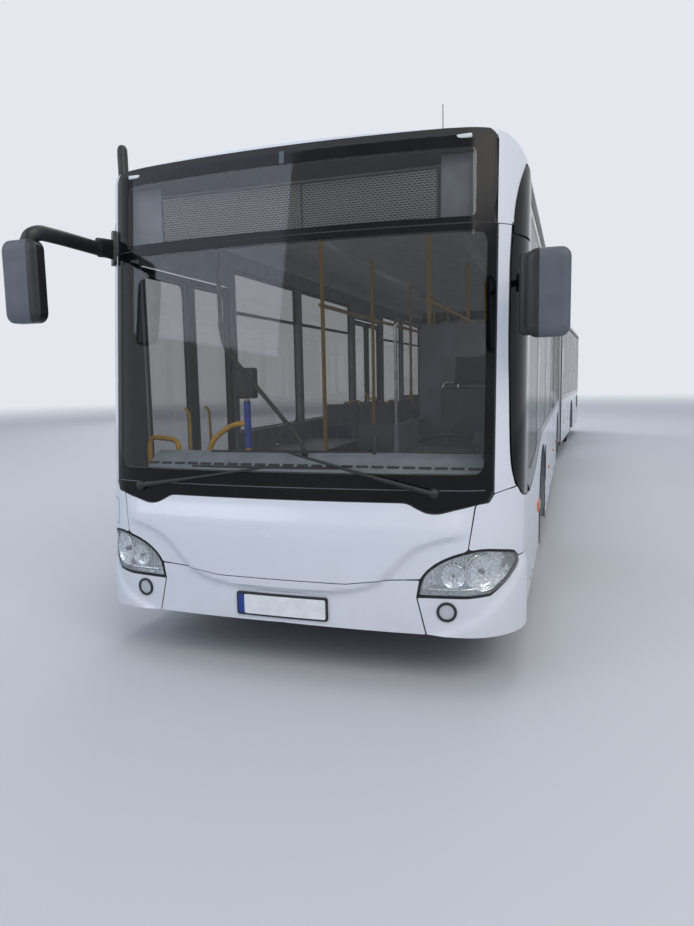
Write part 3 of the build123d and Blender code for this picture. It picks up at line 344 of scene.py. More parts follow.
ceilingPanel = skin("CeilingLaminate", "#d3d6d9", "#c6cace", 200, 0.5, 2.5, 0.0002, IOR=1.5)
chairShell = skin("ChairShellGrey", "#5d636b", "#50565d", 80, 0.5, 2.0, 0.0003, IOR=1.5)
postBlue = skin("PostSleeveBlue", "#1f4fb8", "#183f97", 60, 0.4, 2.0, 0.0002, IOR=1.5)
buttonRed = skin("ButtonRed", "#b3171b", "#8f1215", 20, 0.35, 2.0, 0.0001, IOR=1.5)
plateWhite = skin("PlateSheetWhite", "#e8eaec", "#dbdee0", 60, 0.35, 3.0, 0.0001, IOR=1.5)
plateBlue = skin("PlateBandBlue", "#1d3f9a", "#17337c", 60, 0.35, 3.0, 0.0001, IOR=1.5)
# Rubber: matt black, chalky in patches where it has weathered
sealRubber = skin("WindowSealRubber", "#0d0d0e", "#1c1c1d", 45, 0.62, 3.0, 0.0003, IOR=1.3)
tyreRubber = skin("TyreRubber", "#191919", "#312e2b", 70, 0.78, 4.0, 0.0004, IOR=1.5)
bellowsCloth = skin("CoatedBellowsCloth", "#34363a", "#47494c", 160, 0.7, 2.5, 0.0004, IOR=1.5)
driverPlush = skin("DriverVelour", "#1c2230", "#2a3244", 30, 0.85, 2.0, 0.0006, Sheen_Weight=0.3)
# Metals: clean and soiled tones; paint keeps them half dull, plating keeps them bright
rimSteel = skin("PaintedRimSteel", "#a0a2a4", "#6d665d", 55, 0.42, 4.0, 0.0002, Metallic=0.6)
castBlack = skin("ChassisPaint", "#1b1b1c", "#3d362e", 55, 0.65, 6.0, 0.0006, Metallic=0.2)
framePaint = skin("JointFramePaint", "#303236", "#3e3a35", 55, 0.55, 6.0, 0.0005, Metallic=0.3)
brightMetal = skin("BrushedStainless", "#b9bbbd", "#8d8f91", 55, 0.28, 4.0, 0.0002, Metallic=1.0)
# pillow optics that break up what they mirror; their light and dark colour patches are painted glints
chromeBowlPaintedGlints = skin("VapourChromePaintedGlints", "#e9edef", "#9ea6ab", 13, 0.14, 9, 0.003, Metallic=0.95)
chromeTrimPaintedGlints = skin("SatinChromeTrimPaintedGlints", "#c9cfd3", "#8d959a", 15, 0.26, 8, 0.002, Metallic=0.8)
mirrorFace = skin("SilveredMirror", "#cfd6da", "#bac2c7", 150, 0.10, 300, 0.0001, Metallic=1.0)
railYellow = skin("RailPowderYellow", "#e6ad0c", "#cf990b", 90, 0.36, 3.0, 0.0002, IOR=1.5)
# Lenses
lampLens = lensPlastic("ClearLampLens", "#f1f5f7", "#dfe6ea", 0.14, 60)
fogLens = lensPlastic("FogLampLens", "#c9ced2", "#a9b0b5", 0.35, 9)
whiteLens = lensPlastic("MarkerLensWhite", "#f1f4f5", "#dde3e6", 0.85, 8)
amberLens = lensPlastic("AmberLens", "#f08a18", "#c9660a", 0.88, 8)
redLens = lensPlastic("RedLens", "#b01216", "#7c0b0e", 0.92, 8)
seatPlush = moquette()
signBoard = signGrille()
print("finishes made")

# Camera, as the photograph was taken: place, heading, tilt and roll, and a lens for the long side
view = {"place": (1.517, -12.396, 1.657), "yaw": -18.06, "pitch": -6.94, "roll": -1.10, "lens": 26.97}


def makeCamera():
    yaw, pitch, roll = (math.radians(view[k]) for k in ("yaw", "pitch", "roll"))
    forward = Vector((math.sin(yaw) * math.cos(pitch), math.cos(yaw) * math.cos(pitch), math.sin(pitch)))
    level = Vector((math.cos(yaw), -math.sin(yaw), 0))
    rise = level.cross(forward)
    right = level * math.cos(roll) + rise * math.sin(roll)
    up = -level * math.sin(roll) + rise * math.cos(roll)
    camera = bpy.data.objects.new("Camera", bpy.data.cameras.new("Camera"))
    camera.data.lens, camera.data.sensor_width = view["lens"], 36.0
    camera.data.clip_end = 400
    camera.matrix_world = Matrix.Translation(view["place"]) @ Matrix((right, up, -forward)).transposed().to_4x4()
    bpy.context.scene.collection.objects.link(camera)
    bpy.context.scene.camera = camera


studio = {"backdrop": "#e4e8ee", "fill": 0.62, "floorRadius": 90.0, "fadeFrom": 16.0, "fadeTo": 52.0}


def isShown(tree):
    # rays that should see the plain backdrop: camera, gloss and transmission
    path = addNode(tree, "ShaderNodeLightPath")
    first = addNode(tree, "ShaderNodeMath",
                    {0: path.outputs["Is Camera Ray"], 1: path.outputs["Is Glossy Ray"]}, operation="MAXIMUM")
    both = addNode(tree, "ShaderNodeMath",
                   {0: first.outputs["Value"], 1: path.outputs["Is Transmission Ray"]}, operation="MAXIMUM")
    return both.outputs["Value"]


def makeStage():
    world = bpy.data.worlds.new("Studio")
    bpy.context.scene.world = world
    world.use_nodes = True
    tree = world.node_tree
    ambient = tree.nodes["Background"]
    plug(tree, ambient, {"Color": srgb("#dfe8f6"), "Strength": studio["fill"]})
    backdrop = addNode(tree, "ShaderNodeBackground", {"Color": srgb(studio["backdrop"]), "Strength": 1.0})
    mix = addNode(tree, "ShaderNodeMixShader",
                  {0: isShown(tree), 1: ambient.outputs["Background"], 2: backdrop.outputs["Background"]})
    plug(tree, tree.nodes["World Output"], {"Surface": mix.outputs["Shader"]})
    bm = bmesh.new()
    bmesh.ops.create_circle(bm, cap_ends=True, segments=96, radius=studio["floorRadius"])
    mesh = bpy.data.meshes.new("StudioFloor")
    bm.to_mesh(mesh)
    bm.free()
    floor = bpy.data.objects.new("StudioFloor", mesh)
    bpy.context.scene.collection.objects.link(floor)
    material, tree, shader, coords = startMaterial("PaleFloor", Roughness=0.9)
    plug(tree, shader, {"Base Color": srgb("#c9ccd0")})
    length = addNode(tree, "ShaderNodeVectorMath", {0: coords}, operation="LENGTH")
    fade = addNode(tree, "ShaderNodeMapRange",
                   {"Value": length.outputs["Value"], "From Min": studio["fadeFrom"], "From Max": studio["fadeTo"]},
                   interpolation_type="SMOOTHSTEP")
    far = addNode(tree, "ShaderNodeMath", {0: fade.outputs["Result"], 1: isShown(tree)}, operation="MULTIPLY")
    glow = addNode(tree, "ShaderNodeEmission", {"Color": srgb(studio["backdrop"]), "Strength": 1.0})
    mix = addNode(tree, "ShaderNodeMixShader",
                  {0: far.outputs["Value"], 1: shader.outputs["BSDF"], 2: glow.outputs["Emission"]})
    plug(tree, tree.nodes["Material Output"], {"Surface": mix.outputs["Shader"]})
    mesh.materials.append(material)


def softLight(name, place, target, size, power, code):
    light = bpy.data.lights.new(name, "AREA")
    light.shape, light.size, light.size_y, light.energy = "RECTANGLE", size[0], size[1], power
    light.color = srgb(code)[:3]
    lamp = bpy.data.objects.new(name, light)
    lamp.location = place
    lamp.rotation_euler = (Vector(target) - Vector(place)).to_track_quat("-Z", "Y").to_euler()
    bpy.context.scene.collection.objects.link(lamp)


makeCamera()
makeStage()
bpy.context.scene.view_settings.view_transform = "Standard"
softLight("KeyLight", (9, -17, 11), (0, -7, 1.2), (10, 8), 900, "#fff8ee")
softLight("FrontFill", (-9, -19, 8), (0, -8, 1.5), (9, 7), 420, "#dfe9ff")
softLight("TopLight", (0, 2, 16), (0, 1, 0), (10, 24), 1100, "#ffffff")
softLight("RearLight", (-11, 16, 9), (0, 6, 1.5), (10, 8), 700, "#ffffff")
print("camera and studio ready")


# Mesh helpers. Plates are drawn flat in x and z, facing -y, cut into strips, then laid on the body.

def drawPlate(bm, points, rounds=0.0, material=0):
    verts = [bm.verts.new((x, 0.0, z)) for x, z in points]
    face = bm.faces.new(verts)
    face.material_index = material
    if rounds:
        bmesh.ops.bevel(bm, geom=verts, offset=rounds, segments=5, profile=0.5, affect="VERTICES", material=-1)


def cutLines(bm, across=(), upward=()):
    for axis, places in ((0, across), (2, upward)):
        for place in places:
            spot, normal = Vector((0, 0, 0)), Vector((0, 0, 0))
            spot[axis], normal[axis] = place, 1
            bmesh.ops.bisect_plane(bm, geom=bm.verts[:] + bm.edges[:] + bm.faces[:], dist=1e-5,
                                   plane_co=spot, plane_no=normal)


def stepsBetween(low, high, step):
    count = max(1, round((high - low) / step))
    return [low + (high - low) * i / count for i in range(1, count)]


def frontSteps(low, high):
    # cuts that let a flat plate follow the bow and its corners
    steps = [i * 0.1 for i in range(-60, 61) if abs(i * 0.1) < bow["length"]]
    bend = bow["sideRun"] - bow["length"]
    steps += [side * (bow["length"] + bend * i / 17) for side in (-1, 1) for i in range(18)]
    return [s for s in steps if low < s < high]


def thicken(bm):
    bm.normal_update()
    bmesh.ops.reverse_faces(bm, faces=[f for f in bm.faces if f.normal.y > 0])
    bm.normal_update()
    bmesh.ops.solidify(bm, geom=bm.faces[:], thickness=bus["panel"])


def layOn(bm, place, base, depth, relief=None):
    # the plate's back goes to base, its face to base + depth
    heights = [v.co.y for v in bm.verts]
    back, front = max(heights), min(heights)
    for v in bm.verts:
        share = (back - v.co.y) / (back - front) if back > front else 1.0
        rise = relief(v.co.x, v.co.z) * share if relief else 0.0
        v.co = place(v.co.x, v.co.z, base + depth * share + rise)


def layPlates(bm, place, base, depth, relief=None):
    thicken(bm)
    layOn(bm, place, base, depth, relief)


def mirrorAcross(bm):
    # a second copy on the other side of the centreline
    geom = bm.verts[:] + bm.edges[:] + bm.faces[:]
    copy = bmesh.ops.duplicate(bm, geom=geom)["geom"]
    verts = [g for g in copy if isinstance(g, bmesh.types.BMVert)]
    faces = [g for g in copy if isinstance(g, bmesh.types.BMFace)]
    bmesh.ops.scale(bm, verts=verts, vec=(-1, 1, 1))
    bmesh.ops.reverse_faces(bm, faces=faces)


def pourInto(bm, part):
    # adds one bmesh to another and frees it
    mesh = bpy.data.meshes.new("part")
    part.to_mesh(mesh)
    part.free()
    bm.from_mesh(mesh)
    bpy.data.meshes.remove(mesh)


def faceOutwards(bm):
    # closed thin plates fool the usual test, so each separate solid is turned by its volume
    bmesh.ops.recalc_face_normals(bm, faces=bm.faces[:])
    left = set(bm.faces)
    while left:
        island, grown = set(), [left.pop()]
        while grown:
            face = grown.pop()
            island.add(face)
            for edge in face.edges:
                for other in edge.link_faces:
                    if other in left:
                        left.remove(other)
                        grown.append(other)
        middle = sum((f.calc_center_median() for f in island), Vector()) / len(island)
        volume = sum((f.calc_center_median() - middle).dot(f.normal) * f.calc_area() for f in island)
        if volume < 0:
            bmesh.ops.reverse_faces(bm, faces=list(island))


def finishPiece(bm, name, materials, body, smooth=35, bevel=0.0, segments=2):
    if body in rearBodies:
        bmesh.ops.transform(bm, matrix=rearPlace, verts=bm.verts)
    bm.normal_update()
    faceOutwards(bm)
    for face in bm.faces:
        face.smooth = True
    mesh = bpy.data.meshes.new(name)
    bm.to_mesh(mesh)
    bm.free()
    mesh.set_sharp_from_angle(angle=math.radians(smooth))
    piece = bpy.data.objects.new(name, mesh)
    bpy.context.scene.collection.objects.link(piece)
    for material in materials:
        mesh.materials.append(material)
    if bevel:
        edge = piece.modifiers.new("Edge", "BEVEL")
        edge.width, edge.segments, edge.limit_method, edge.angle_limit = bevel, segments, "ANGLE", math.radians(40)
    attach(piece, body)
    return piece


def platePiece(name, outlines, place, body, material, base, depth, rounds=0.0, bevel=0.0, across=(), upward=(),
               mirrored=False, segments=2):
    # outlines of one material as one piece of thin plates on the body
    bm = bmesh.new()
    for outline in outlines:
        drawPlate(bm, outline, rounds)
    if mirrored:
        mirrorAcross(bm)
    cutLines(bm, across, upward)
    layPlates(bm, place, base, depth)
    return finishPiece(bm, name, [material], body, 30, bevel, segments)


def pourPainted(bm, part, material):
    # adds a bmesh of one material to the piece
    for face in part.faces:
        face.material_index = material
    pourInto(bm, part)


def addBox(bm, low, high, bevel=0.004, material=0, segments=2):
    size = [b - a for a, b in zip(low, high)]
    centre = [(a + b) / 2 for a, b in zip(low, high)]
    part = bmesh.new()
    bmesh.ops.create_cube(part, size=1.0, matrix=Matrix.Translation(centre) @ Matrix.Diagonal((*size, 1)))
    bmesh.ops.bevel(part, geom=part.edges[:], offset=min(bevel, min(size) * 0.45), segments=segments, profile=0.5,
                    affect="EDGES", material=-1)
    pourPainted(bm, part, material)


def addRod(bm, start, end, radius, radiusEnd=None, segments=20, material=0):
    start, end = Vector(start), Vector(end)
    part = bmesh.new()
    turn = (end - start).to_track_quat("Z", "Y").to_matrix().to_4x4()
    bmesh.ops.create_cone(part, cap_ends=True, segments=segments, radius1=radius, radius2=radiusEnd or radius,
                          depth=(end - start).length, matrix=Matrix.Translation((start + end) / 2) @ turn)
    pourPainted(bm, part, material)


def roundedPath(points, radius, steps=6):
    # a path of straight runs whose corners are arcs
    points = [Vector(p) for p in points]
    path = [points[0]]
    for before, corner, after in zip(points, points[1:], points[2:]):
        inward, onward = (before - corner).normalized(), (after - corner).normalized()
        reach = min(radius, (before - corner).length * 0.45, (after - corner).length * 0.45)
        first, last = corner + inward * reach, corner + onward * reach
        for i in range(steps + 1):
            t = i / steps
            path.append(first * (1 - t) ** 2 + corner * 2 * t * (1 - t) + last * t ** 2)
    path.append(points[-1])
    return path


def addPipe(bm, points, radius, bend=0.06, segments=14, material=0, steps=6, tall=None):
    # a bar along a path, from rings joined in turn: round, or an upright oval that many times its width
    path = roundedPath(points, bend, steps) if len(points) > 2 else [Vector(p) for p in points]
    part, rings = bmesh.new(), []
    side = None
    for i, spot in enumerate(path):
        ahead = (path[min(i + 1, len(path) - 1)] - path[max(i - 1, 0)]).normalized()
        if tall:
            side = ahead.cross(Vector((0, 0, 1))).normalized()
        else:
            side = ahead.orthogonal().normalized() if side is None else (side - ahead * side.dot(ahead)).normalized()
        turn = Matrix((side, ahead.cross(side) * (tall or 1), ahead)).transposed().to_4x4()
        made = bmesh.ops.create_circle(part, cap_ends=False, segments=segments, radius=radius,
                                       matrix=Matrix.Translation(spot) @ turn)
        rings.append(list({e for v in made["verts"] for e in v.link_edges}))
    for first, second in zip(rings, rings[1:]):
        bmesh.ops.bridge_loops(part, edges=first + second)
    for ring in (rings[0], rings[-1]):
        bmesh.ops.holes_fill(part, edges=ring, sides=segments)
    pourPainted(bm, part, material)


def addTurned(bm, profile, origin, axis, steps=32, material=0):
    # profile points are (radius, distance along the axis)
    origin, axis = Vector(origin), Vector(axis).normalized()
    side = axis.orthogonal().normalized()
    part = bmesh.new()
    verts = [part.verts.new(origin + side * radius + axis * along) for radius, along in profile]
    edges = [part.edges.new(pair) for pair in zip(verts, verts[1:])]
    bmesh.ops.spin(part, geom=verts + edges, cent=origin, axis=axis, angle=math.tau, steps=steps, use_merge=True)
    pourPainted(bm, part, material)


def frontFrame(x, z, out=0.0):
    # a place on the front and the way out of it
    run = runAcross(x)
    spot, further = onFront(run, z, out), onFront(run, z, out + 0.01)
    return spot, (further - spot).normalized()


def smoothStep(low, high, value):
    t = max(0.0, min(1.0, (value - low) / (high - low)))
    return t * t * (3 - 2 * t)


def awayFrom(line, x, z):
    # signed distance from a line of points; positive is left of its direction
    best = None
    for (ax, az), (bx, bz) in zip(line, line[1:]):
        dx, dz = bx - ax, bz - az
        t = max(0.0, min(1.0, ((x - ax) * dx + (z - az) * dz) / (dx * dx + dz * dz)))
        px, pz = x - ax - dx * t, z - az - dz * t
        distance = math.hypot(px, pz)
        if best is None or distance < best[0] - 1e-9:
            best = (distance, math.copysign(1, dx * pz - dz * px))
    return best[0] * best[1]


def smoothLine(points):
    # a line that bends evenly through its points
    line, last = [], len(points) - 1
    for i in range(last):
        four = (points[max(i - 1, 0)], points[i], points[i + 1], points[min(i + 2, last)])
        for t in (step / 5 for step in range(5)):
            line.append(tuple(b + ((c - a) * t + (2 * a - 5 * b + 4 * c - d) * t ** 2
                                   + (3 * b - a - 3 * c + d) * t ** 3) / 2 for a, b, c, d in zip(*four)))
    return line + [tuple(points[-1])]


def rectangle(left, right, bottom, top):
    return [(left, bottom), (right, bottom), (right, top), (left, top)]


def grown(points, margin):
    # a closed outline drawn out by a margin all round, or drawn in where it is negative
    area = sum(ax * bz - bx * az for (ax, az), (bx, bz) in zip(points, points[1:] + points[:1]))
    result = []
    for i, (x, z) in enumerate(points):
        before, after = points[i - 1], points[(i + 1) % len(points)]
        first = Vector((x - before[0], z - before[1])).normalized()
        second = Vector((after[0] - x, after[1] - z)).normalized()
        reach = math.copysign(margin, area * margin) / max(0.5, 1 + first.dot(second))
        result.append((x + (first.y + second.y) * reach, z - (first.x + second.x) * reach))
    return result


# Front panels. Points are (x across the front, height); the lamp openings cut into three panels.
front = {
    "lampOutline": [(0.763, 0.515), (0.798, 0.627), (0.907, 0.711), (1.069, 0.760), (1.195, 0.746), (1.234, 0.731),
                    (1.249, 0.702), (1.252, 0.672), (1.238, 0.641), (1.196, 0.587), (1.126, 0.526), (1.012, 0.517)],
    "bandDip": [(0.660, 1.0035), (0.705, 0.999), (0.755, 0.974), (0.806, 0.953), (0.870, 0.950), (0.960, 0.972),
                (1.055, 0.996)],
    "seam": [(0.380, 0.566), (0.543, 0.588), (0.693, 0.598)],
    "shield": [(1.075, 0.846), (0.960, 0.830), (0.850, 0.806), (0.760, 0.768), (0.690, 0.712), (0.625, 0.640),
               (0.565, 0.584), (0.480, 0.545), (0.380, 0.520), (0.300, 0.512), (0.0, 0.505)],
    "shieldRise": 0.027, "shieldSoft": 0.040,
    "fold": [(1.36, 0.690), (1.32, 0.640), (1.245, 0.560), (1.150, 0.485), (1.060, 0.406), (0.935, 0.350),
             (0.800, 0.300)],
    "foldRise": 0.020, "foldSoft": 0.036,
    "grid": 0.018,
}


def wrapPoints(points):
    return [(runAcross(x), z) for x, z in points]


def frontRelief(run, z):
    across = abs(run)
    shield = awayFrom(front["shield"], across, z)
    rise = front["shieldRise"] * smoothStep(-front["shieldSoft"] / 2, front["shieldSoft"] / 2, -shield)
    rise *= (1 - smoothStep(0.87, 0.985, z)) * (1 - smoothStep(0.93, 1.055, across))
    fold = awayFrom(front["fold"], across, z)
    away = smoothStep(0.0, front["foldSoft"], fold) * (1 - smoothStep(1.42, 1.72, across))
    return rise + front["foldRise"] * away * (1 - smoothStep(0.62, 0.72, z))


def frontPanel(name, points, rounds, relief=frontRelief, material=enamelWhite, depth=bus["panel"], bevel=0.0025,
               mirrored=False):
    bm = bmesh.new()
    drawPlate(bm, points, rounds)
    low, high = min(x for x, z in points), max(x for x, z in points)
    bottom, top = min(z for x, z in points), max(z for x, z in points)
    if relief:
        cutLines(bm, stepsBetween(low, high, front["grid"]), stepsBetween(bottom, top, front["grid"]))
    else:
        cutLines(bm, frontSteps(low, high), [z for z in (bow["rakeStart"],) if bottom < z < top])
    layPlates(bm, onFront, bus["lift"], depth, relief)
    if mirrored:
        mirrorAcross(bm)
    finishPiece(bm, name, [material], "front_section", 30, bevel)


def bothHalves(half):
    # a closed outline from its left half, which starts and ends on the centreline
    return list(reversed(half[:-1] + [(-x, z) for x, z in reversed(half[1:])]))


gap = bus["gap"] / 2
lampTop = smoothLine(wrapPoints(front["lampOutline"][:6]))
lampLine = lampTop + wrapPoints(front["lampOutline"][6:])
lampEdge = grown(lampLine, 0.0095)
lampCrest, lampTip = [p for p in lampEdge[:len(lampTop)] if p[1] > 0.612], lampEdge[len(lampTop):]
bandLine = smoothLine(wrapPoints(front["bandDip"]))
hatchHalf = [(0.0, 1.0035)] + bandLine + [(runAcross(1.047), 0.992)]
hatchHalf += [(runAcross(1.0165), 0.768)]
hatchHalf += [p for p in reversed(lampCrest) if p[0] < runAcross(1.006)] + [(runAcross(0.772), 0.606)]
hatchHalf += [(x, z + gap) for x, z in reversed(smoothLine(front["seam"]))] + [(0.0, 0.566 + gap)]


def makeHatch():
    frontPanel("FrontHatch", bothHalves(hatchHalf), 0.006)


def makeBumper():
    half = [(0.0, 0.566 - gap)] + [(x, z - gap) for x, z in smoothLine(front["seam"])]
    half += wrapPoints([(0.768, 0.596), (0.752, 0.506), (0.800, 0.306)]) + [(0.0, 0.316)]
    frontPanel("BumperMiddle", bothHalves(half), 0.006)
    corner = wrapPoints([(0.808, 0.306), (1.10, 0.302)]) + [(runAlong(0.607), 0.300), (runAlong(0.607), 0.684)]
    corner += [(lampTip[0][0] + 0.004, lampTip[0][1] - 0.007)] + lampTip[1:5]
    frontPanel("BumperCorners", corner + wrapPoints([(1.012, 0.505), (0.760, 0.503)]), 0.006, mirrored=True)


def makeCornerPanels():
    corner = [(runAcross(1.0225), 0.771)] + [p for p in lampCrest if p[0] > runAcross(1.034)]
    corner += [lampTip[0], (runAlong(0.607), 0.690), (runAlong(0.607, 0.978), 0.978), (runAlong(0.360, 1.019), 1.019)]
    corner += wrapPoints([(1.2565, 1.038), (1.2445, 1.074), (1.190, 1.064), (1.142, 1.050), (1.118, 1.006),
                          (1.060, 0.998), (1.054, 0.985)])
    frontPanel("FrontCornerPanels", corner, 0.008, mirrored=True)


def makeCornerFlap():
    # small lid in the right-hand corner panel, lying on the dark joint round it
    near, width, low, high = -runAcross(1.128), 0.150, 0.800, 0.950
    for name, edge, material, depth in (("CornerFlapJoint", 0.0035, sealRubber, 0.0036),
                                        ("CornerFlap", 0.0, enamelWhite, 0.0046)):
        outline = rectangle(near - width - edge, near + edge, low - edge, high + edge)
        frontPanel(name, outline, 0.012, None, material, depth, 0.0008)


makeHatch()
makeBumper()
makeCornerPanels()
makeCornerFlap()
print("front panels made")


# Glass. Each pane has a see-through middle and a black printed border in one sheet.

def addPane(bm, outer, inner, rounds, innerRounds):
    part = bmesh.new()
    drawPlate(part, outer, rounds)
    bmesh.ops.delete(part, geom=part.faces[:], context="FACES_ONLY")
    clear = bmesh.new()
    drawPlate(clear, inner, innerRounds)
    pourInto(part, clear)
    bmesh.ops.triangle_fill(part, use_beauty=True, use_dissolve=False, edges=part.edges[:], normal=(0, -1, 0))
    for face in part.faces:
        face.material_index = 0 if len(face.verts) > 3 else 1
    pourInto(bm, part)


def glassPiece(name, panes, place, body, glass, across=(), upward=()):
    bm = bmesh.new()
    for pane in panes:
        addPane(bm, *pane)
    cutLines(bm, across, upward)
    layPlates(bm, place, -bus["glass"], bus["glass"])
    return finishPiece(bm, name, [glass, blackGlass], body, 30)


screen = {
    "corner": [(1.134, 1.075), (1.110, 1.013)], "bandGap": 0.0065, "joint": (1.070, 1.0745),
    "top": 2.427, "clearHalf": 1.092, "clearLow": 1.150, "clearTop": 2.395,
    "signOuter": (1.138, 2.433, 2.917), "signRound": 0.075, "signClear": (1.035, 2.462, 2.810),
    "signCuts": [2.5, 2.6, 2.7, 2.76, 2.80, 2.84, 2.868, 2.876, 2.884, 2.892, 2.900, 2.908],
    "jointCuts": [2.82, 2.84, 2.86, 2.868, 2.876],
}


def makeWindscreen():
    half = wrapPoints(screen["corner"]) + [(x, z + screen["bandGap"]) for x, z in reversed(bandLine)]
    top = (runAcross(1.134), screen["top"])
    outer = [(-x, z) for x, z in [top] + half] + list(reversed(half)) + [top]
    clear = runAcross(screen["clearHalf"])
    inner = rectangle(-clear, clear, screen["clearLow"], screen["clearTop"])
    piece = glassPiece("Windscreen", [(outer, inner, 0.004, 0.06)], onFront, "front_section", screenGlass,
                       frontSteps(-2, 2), [1.3, 1.5, 1.7, 1.9, 2.1, 2.3])
    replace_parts(piece, "windscreen")
    half, low, high = screen["signOuter"]
    half = runAcross(half)
    width, bottom, crest = screen["signClear"]
    width = runAcross(width)
    bend, turns = screen["signRound"], [math.pi / 2 * i / 8 for i in range(9)]
    side = [(half, low)] + [(half - bend + bend * math.cos(a), high - bend + bend * math.sin(a)) for a in turns]
    outer = side + [(-x, z) for x, z in reversed(side)]
    glassPiece("SignGlass", [(outer, rectangle(-width, width, bottom, crest), 0.002, 0.03)], onFront,
               "front_section", screenGlass, frontSteps(-2, 2), screen["signCuts"])
    # the thin joint between the screen and the black band under it, and the upright one in the display
    reach = runAcross(1.100)
    joints = [rectangle(-reach, reach, *screen["joint"]), rectangle(-0.014, 0.014, crest + 0.004, high - 0.006)]
    platePiece("ScreenJoints", joints, onFront, "front_section", mirrorGrey, 0.0002, 0.0016,
               across=frontSteps(-2, 2), upward=screen["jointCuts"])


def onSide(side):
    def place(station, z, out=0.0):
        return at(side * (bus["halfWidth"] + out), station, z)
    return place


cornerGlass = {
    # (x, height) down the front edge, (station, height) along the foot, (run, height) up the sweep to its tip
    "front": [(1.207, 2.372), (1.201, 2.259), (1.200, 2.139), (1.200, 1.839), (1.204, 1.630), (1.216, 1.243),
              (1.236, 1.107), (1.262, 1.045)],
    "foot": [(0.360, 1.027), (0.630, 0.985)], "back": 0.640,
    "sweep": [(1.257, 2.385), (1.262, 2.446), (1.272, 2.530), (1.301, 2.631), (1.335, 2.697), (1.381, 2.763)],
    "crest": [(1.440, 2.746), (1.501, 2.714)],
}


def makeCornerGlass():
    back = cornerGlass["back"]
    lower = smoothLine(wrapPoints(cornerGlass["front"]))
    lower += [(runAlong(s, z), z) for s, z in cornerGlass["foot"]] + [(runAlong(back, 2.372), 2.372)]
    upper = smoothLine(cornerGlass["sweep"]) + cornerGlass["crest"] + [(runAlong(back, z), z) for z in (2.713, 2.385)]
    cuts = frontSteps(0, 4) + stepsBetween(bow["sideRun"], bow["sideRun"] + 0.6, 0.2)
    for name, sign in (("CornerGlassLeft", 1), ("CornerGlassRight", -1)):
        bm = bmesh.new()
        drawPlate(bm, lower, 0.004)
        drawPlate(bm, upper, 0.004)
        if sign < 0:
            bmesh.ops.scale(bm, verts=bm.verts, vec=(-1, 1, 1))
        cutLines(bm, [sign * c for c in cuts], stepsBetween(1.0, 2.4, 0.1) + stepsBetween(2.4, 2.76, 0.02))
        layPlates(bm, onFront, bus["lift"], 0.004)
        finishPiece(bm, name, [blackGlass], "front_section", 30, 0.001)


sideGlass = {
    # first and last station of each pane, then of the clear part inside it
    "frontLeft": [((1.897, 3.443), (1.970, 3.400)), ((3.449, 5.003), (3.525, 4.945)), ((5.009, 6.543), (5.065, 6.485)),
                  ((6.549, 8.083), (6.605, 8.025)), ((8.089, 9.644), (8.145, 9.545))],
    "frontRight": [((1.966, 3.462), (2.005, 3.405)), ((3.468, 5.340), (3.525, 5.255)), ((6.762, 8.083), (6.845, 8.025)),
                   ((8.089, 9.644), (8.145, 9.545))],
    "rearLeft": [((10.966, 12.522), (11.075, 12.465)), ((12.528, 14.032), (12.585, 13.975)),
                 ((14.038, 15.542), (14.095, 15.485)),
                 ((15.548, 17.052), (15.605, 16.995)), ((17.058, 17.884), (17.115, 17.765))],
    "rearRight": [((10.966, 11.799), (11.075, 11.685)), ((13.221, 14.542), (13.275, 14.485)),
                  ((14.548, 15.872), (14.605, 15.815)),
                  ((15.878, 17.052), (15.935, 16.995)), ((17.058, 17.884), (17.115, 17.765))],
    "low": 1.172, "clearLow": 1.222, "clearHigh": 2.588, "high": 2.711, "trimLow": 2.614,
    "swoop": [(1.891, 1.045), (1.553, 0.995), (1.240, 0.965), (0.930, 0.955), (0.646, 0.985)],
    "firstLow": [(3.443, 1.172), (2.833, 1.172), (2.300, 1.130), (1.897, 1.052)],
    "driver": (0.646, 1.891),
    "driverClear": [(0.740, 2.560), (0.740, 1.110), (0.960, 1.080), (1.560, 1.110), (1.840, 1.160), (1.840, 2.560)],
    # the hinged upper lights: height and depth of the bar under them, thickness of the bars
    "vent": 2.235, "ventIn": (0.0065, 0.034), "ventBar": 0.028, "ventSide": 0.022,
}
sides = (("frontLeft", 1), ("frontRight", -1), ("rearLeft", 1), ("rearRight", -1))


def bodyOf(where):
    return "front_section" if where.startswith("front") else "rear_section"


def titled(where):
    return where[0].upper() + where[1:]


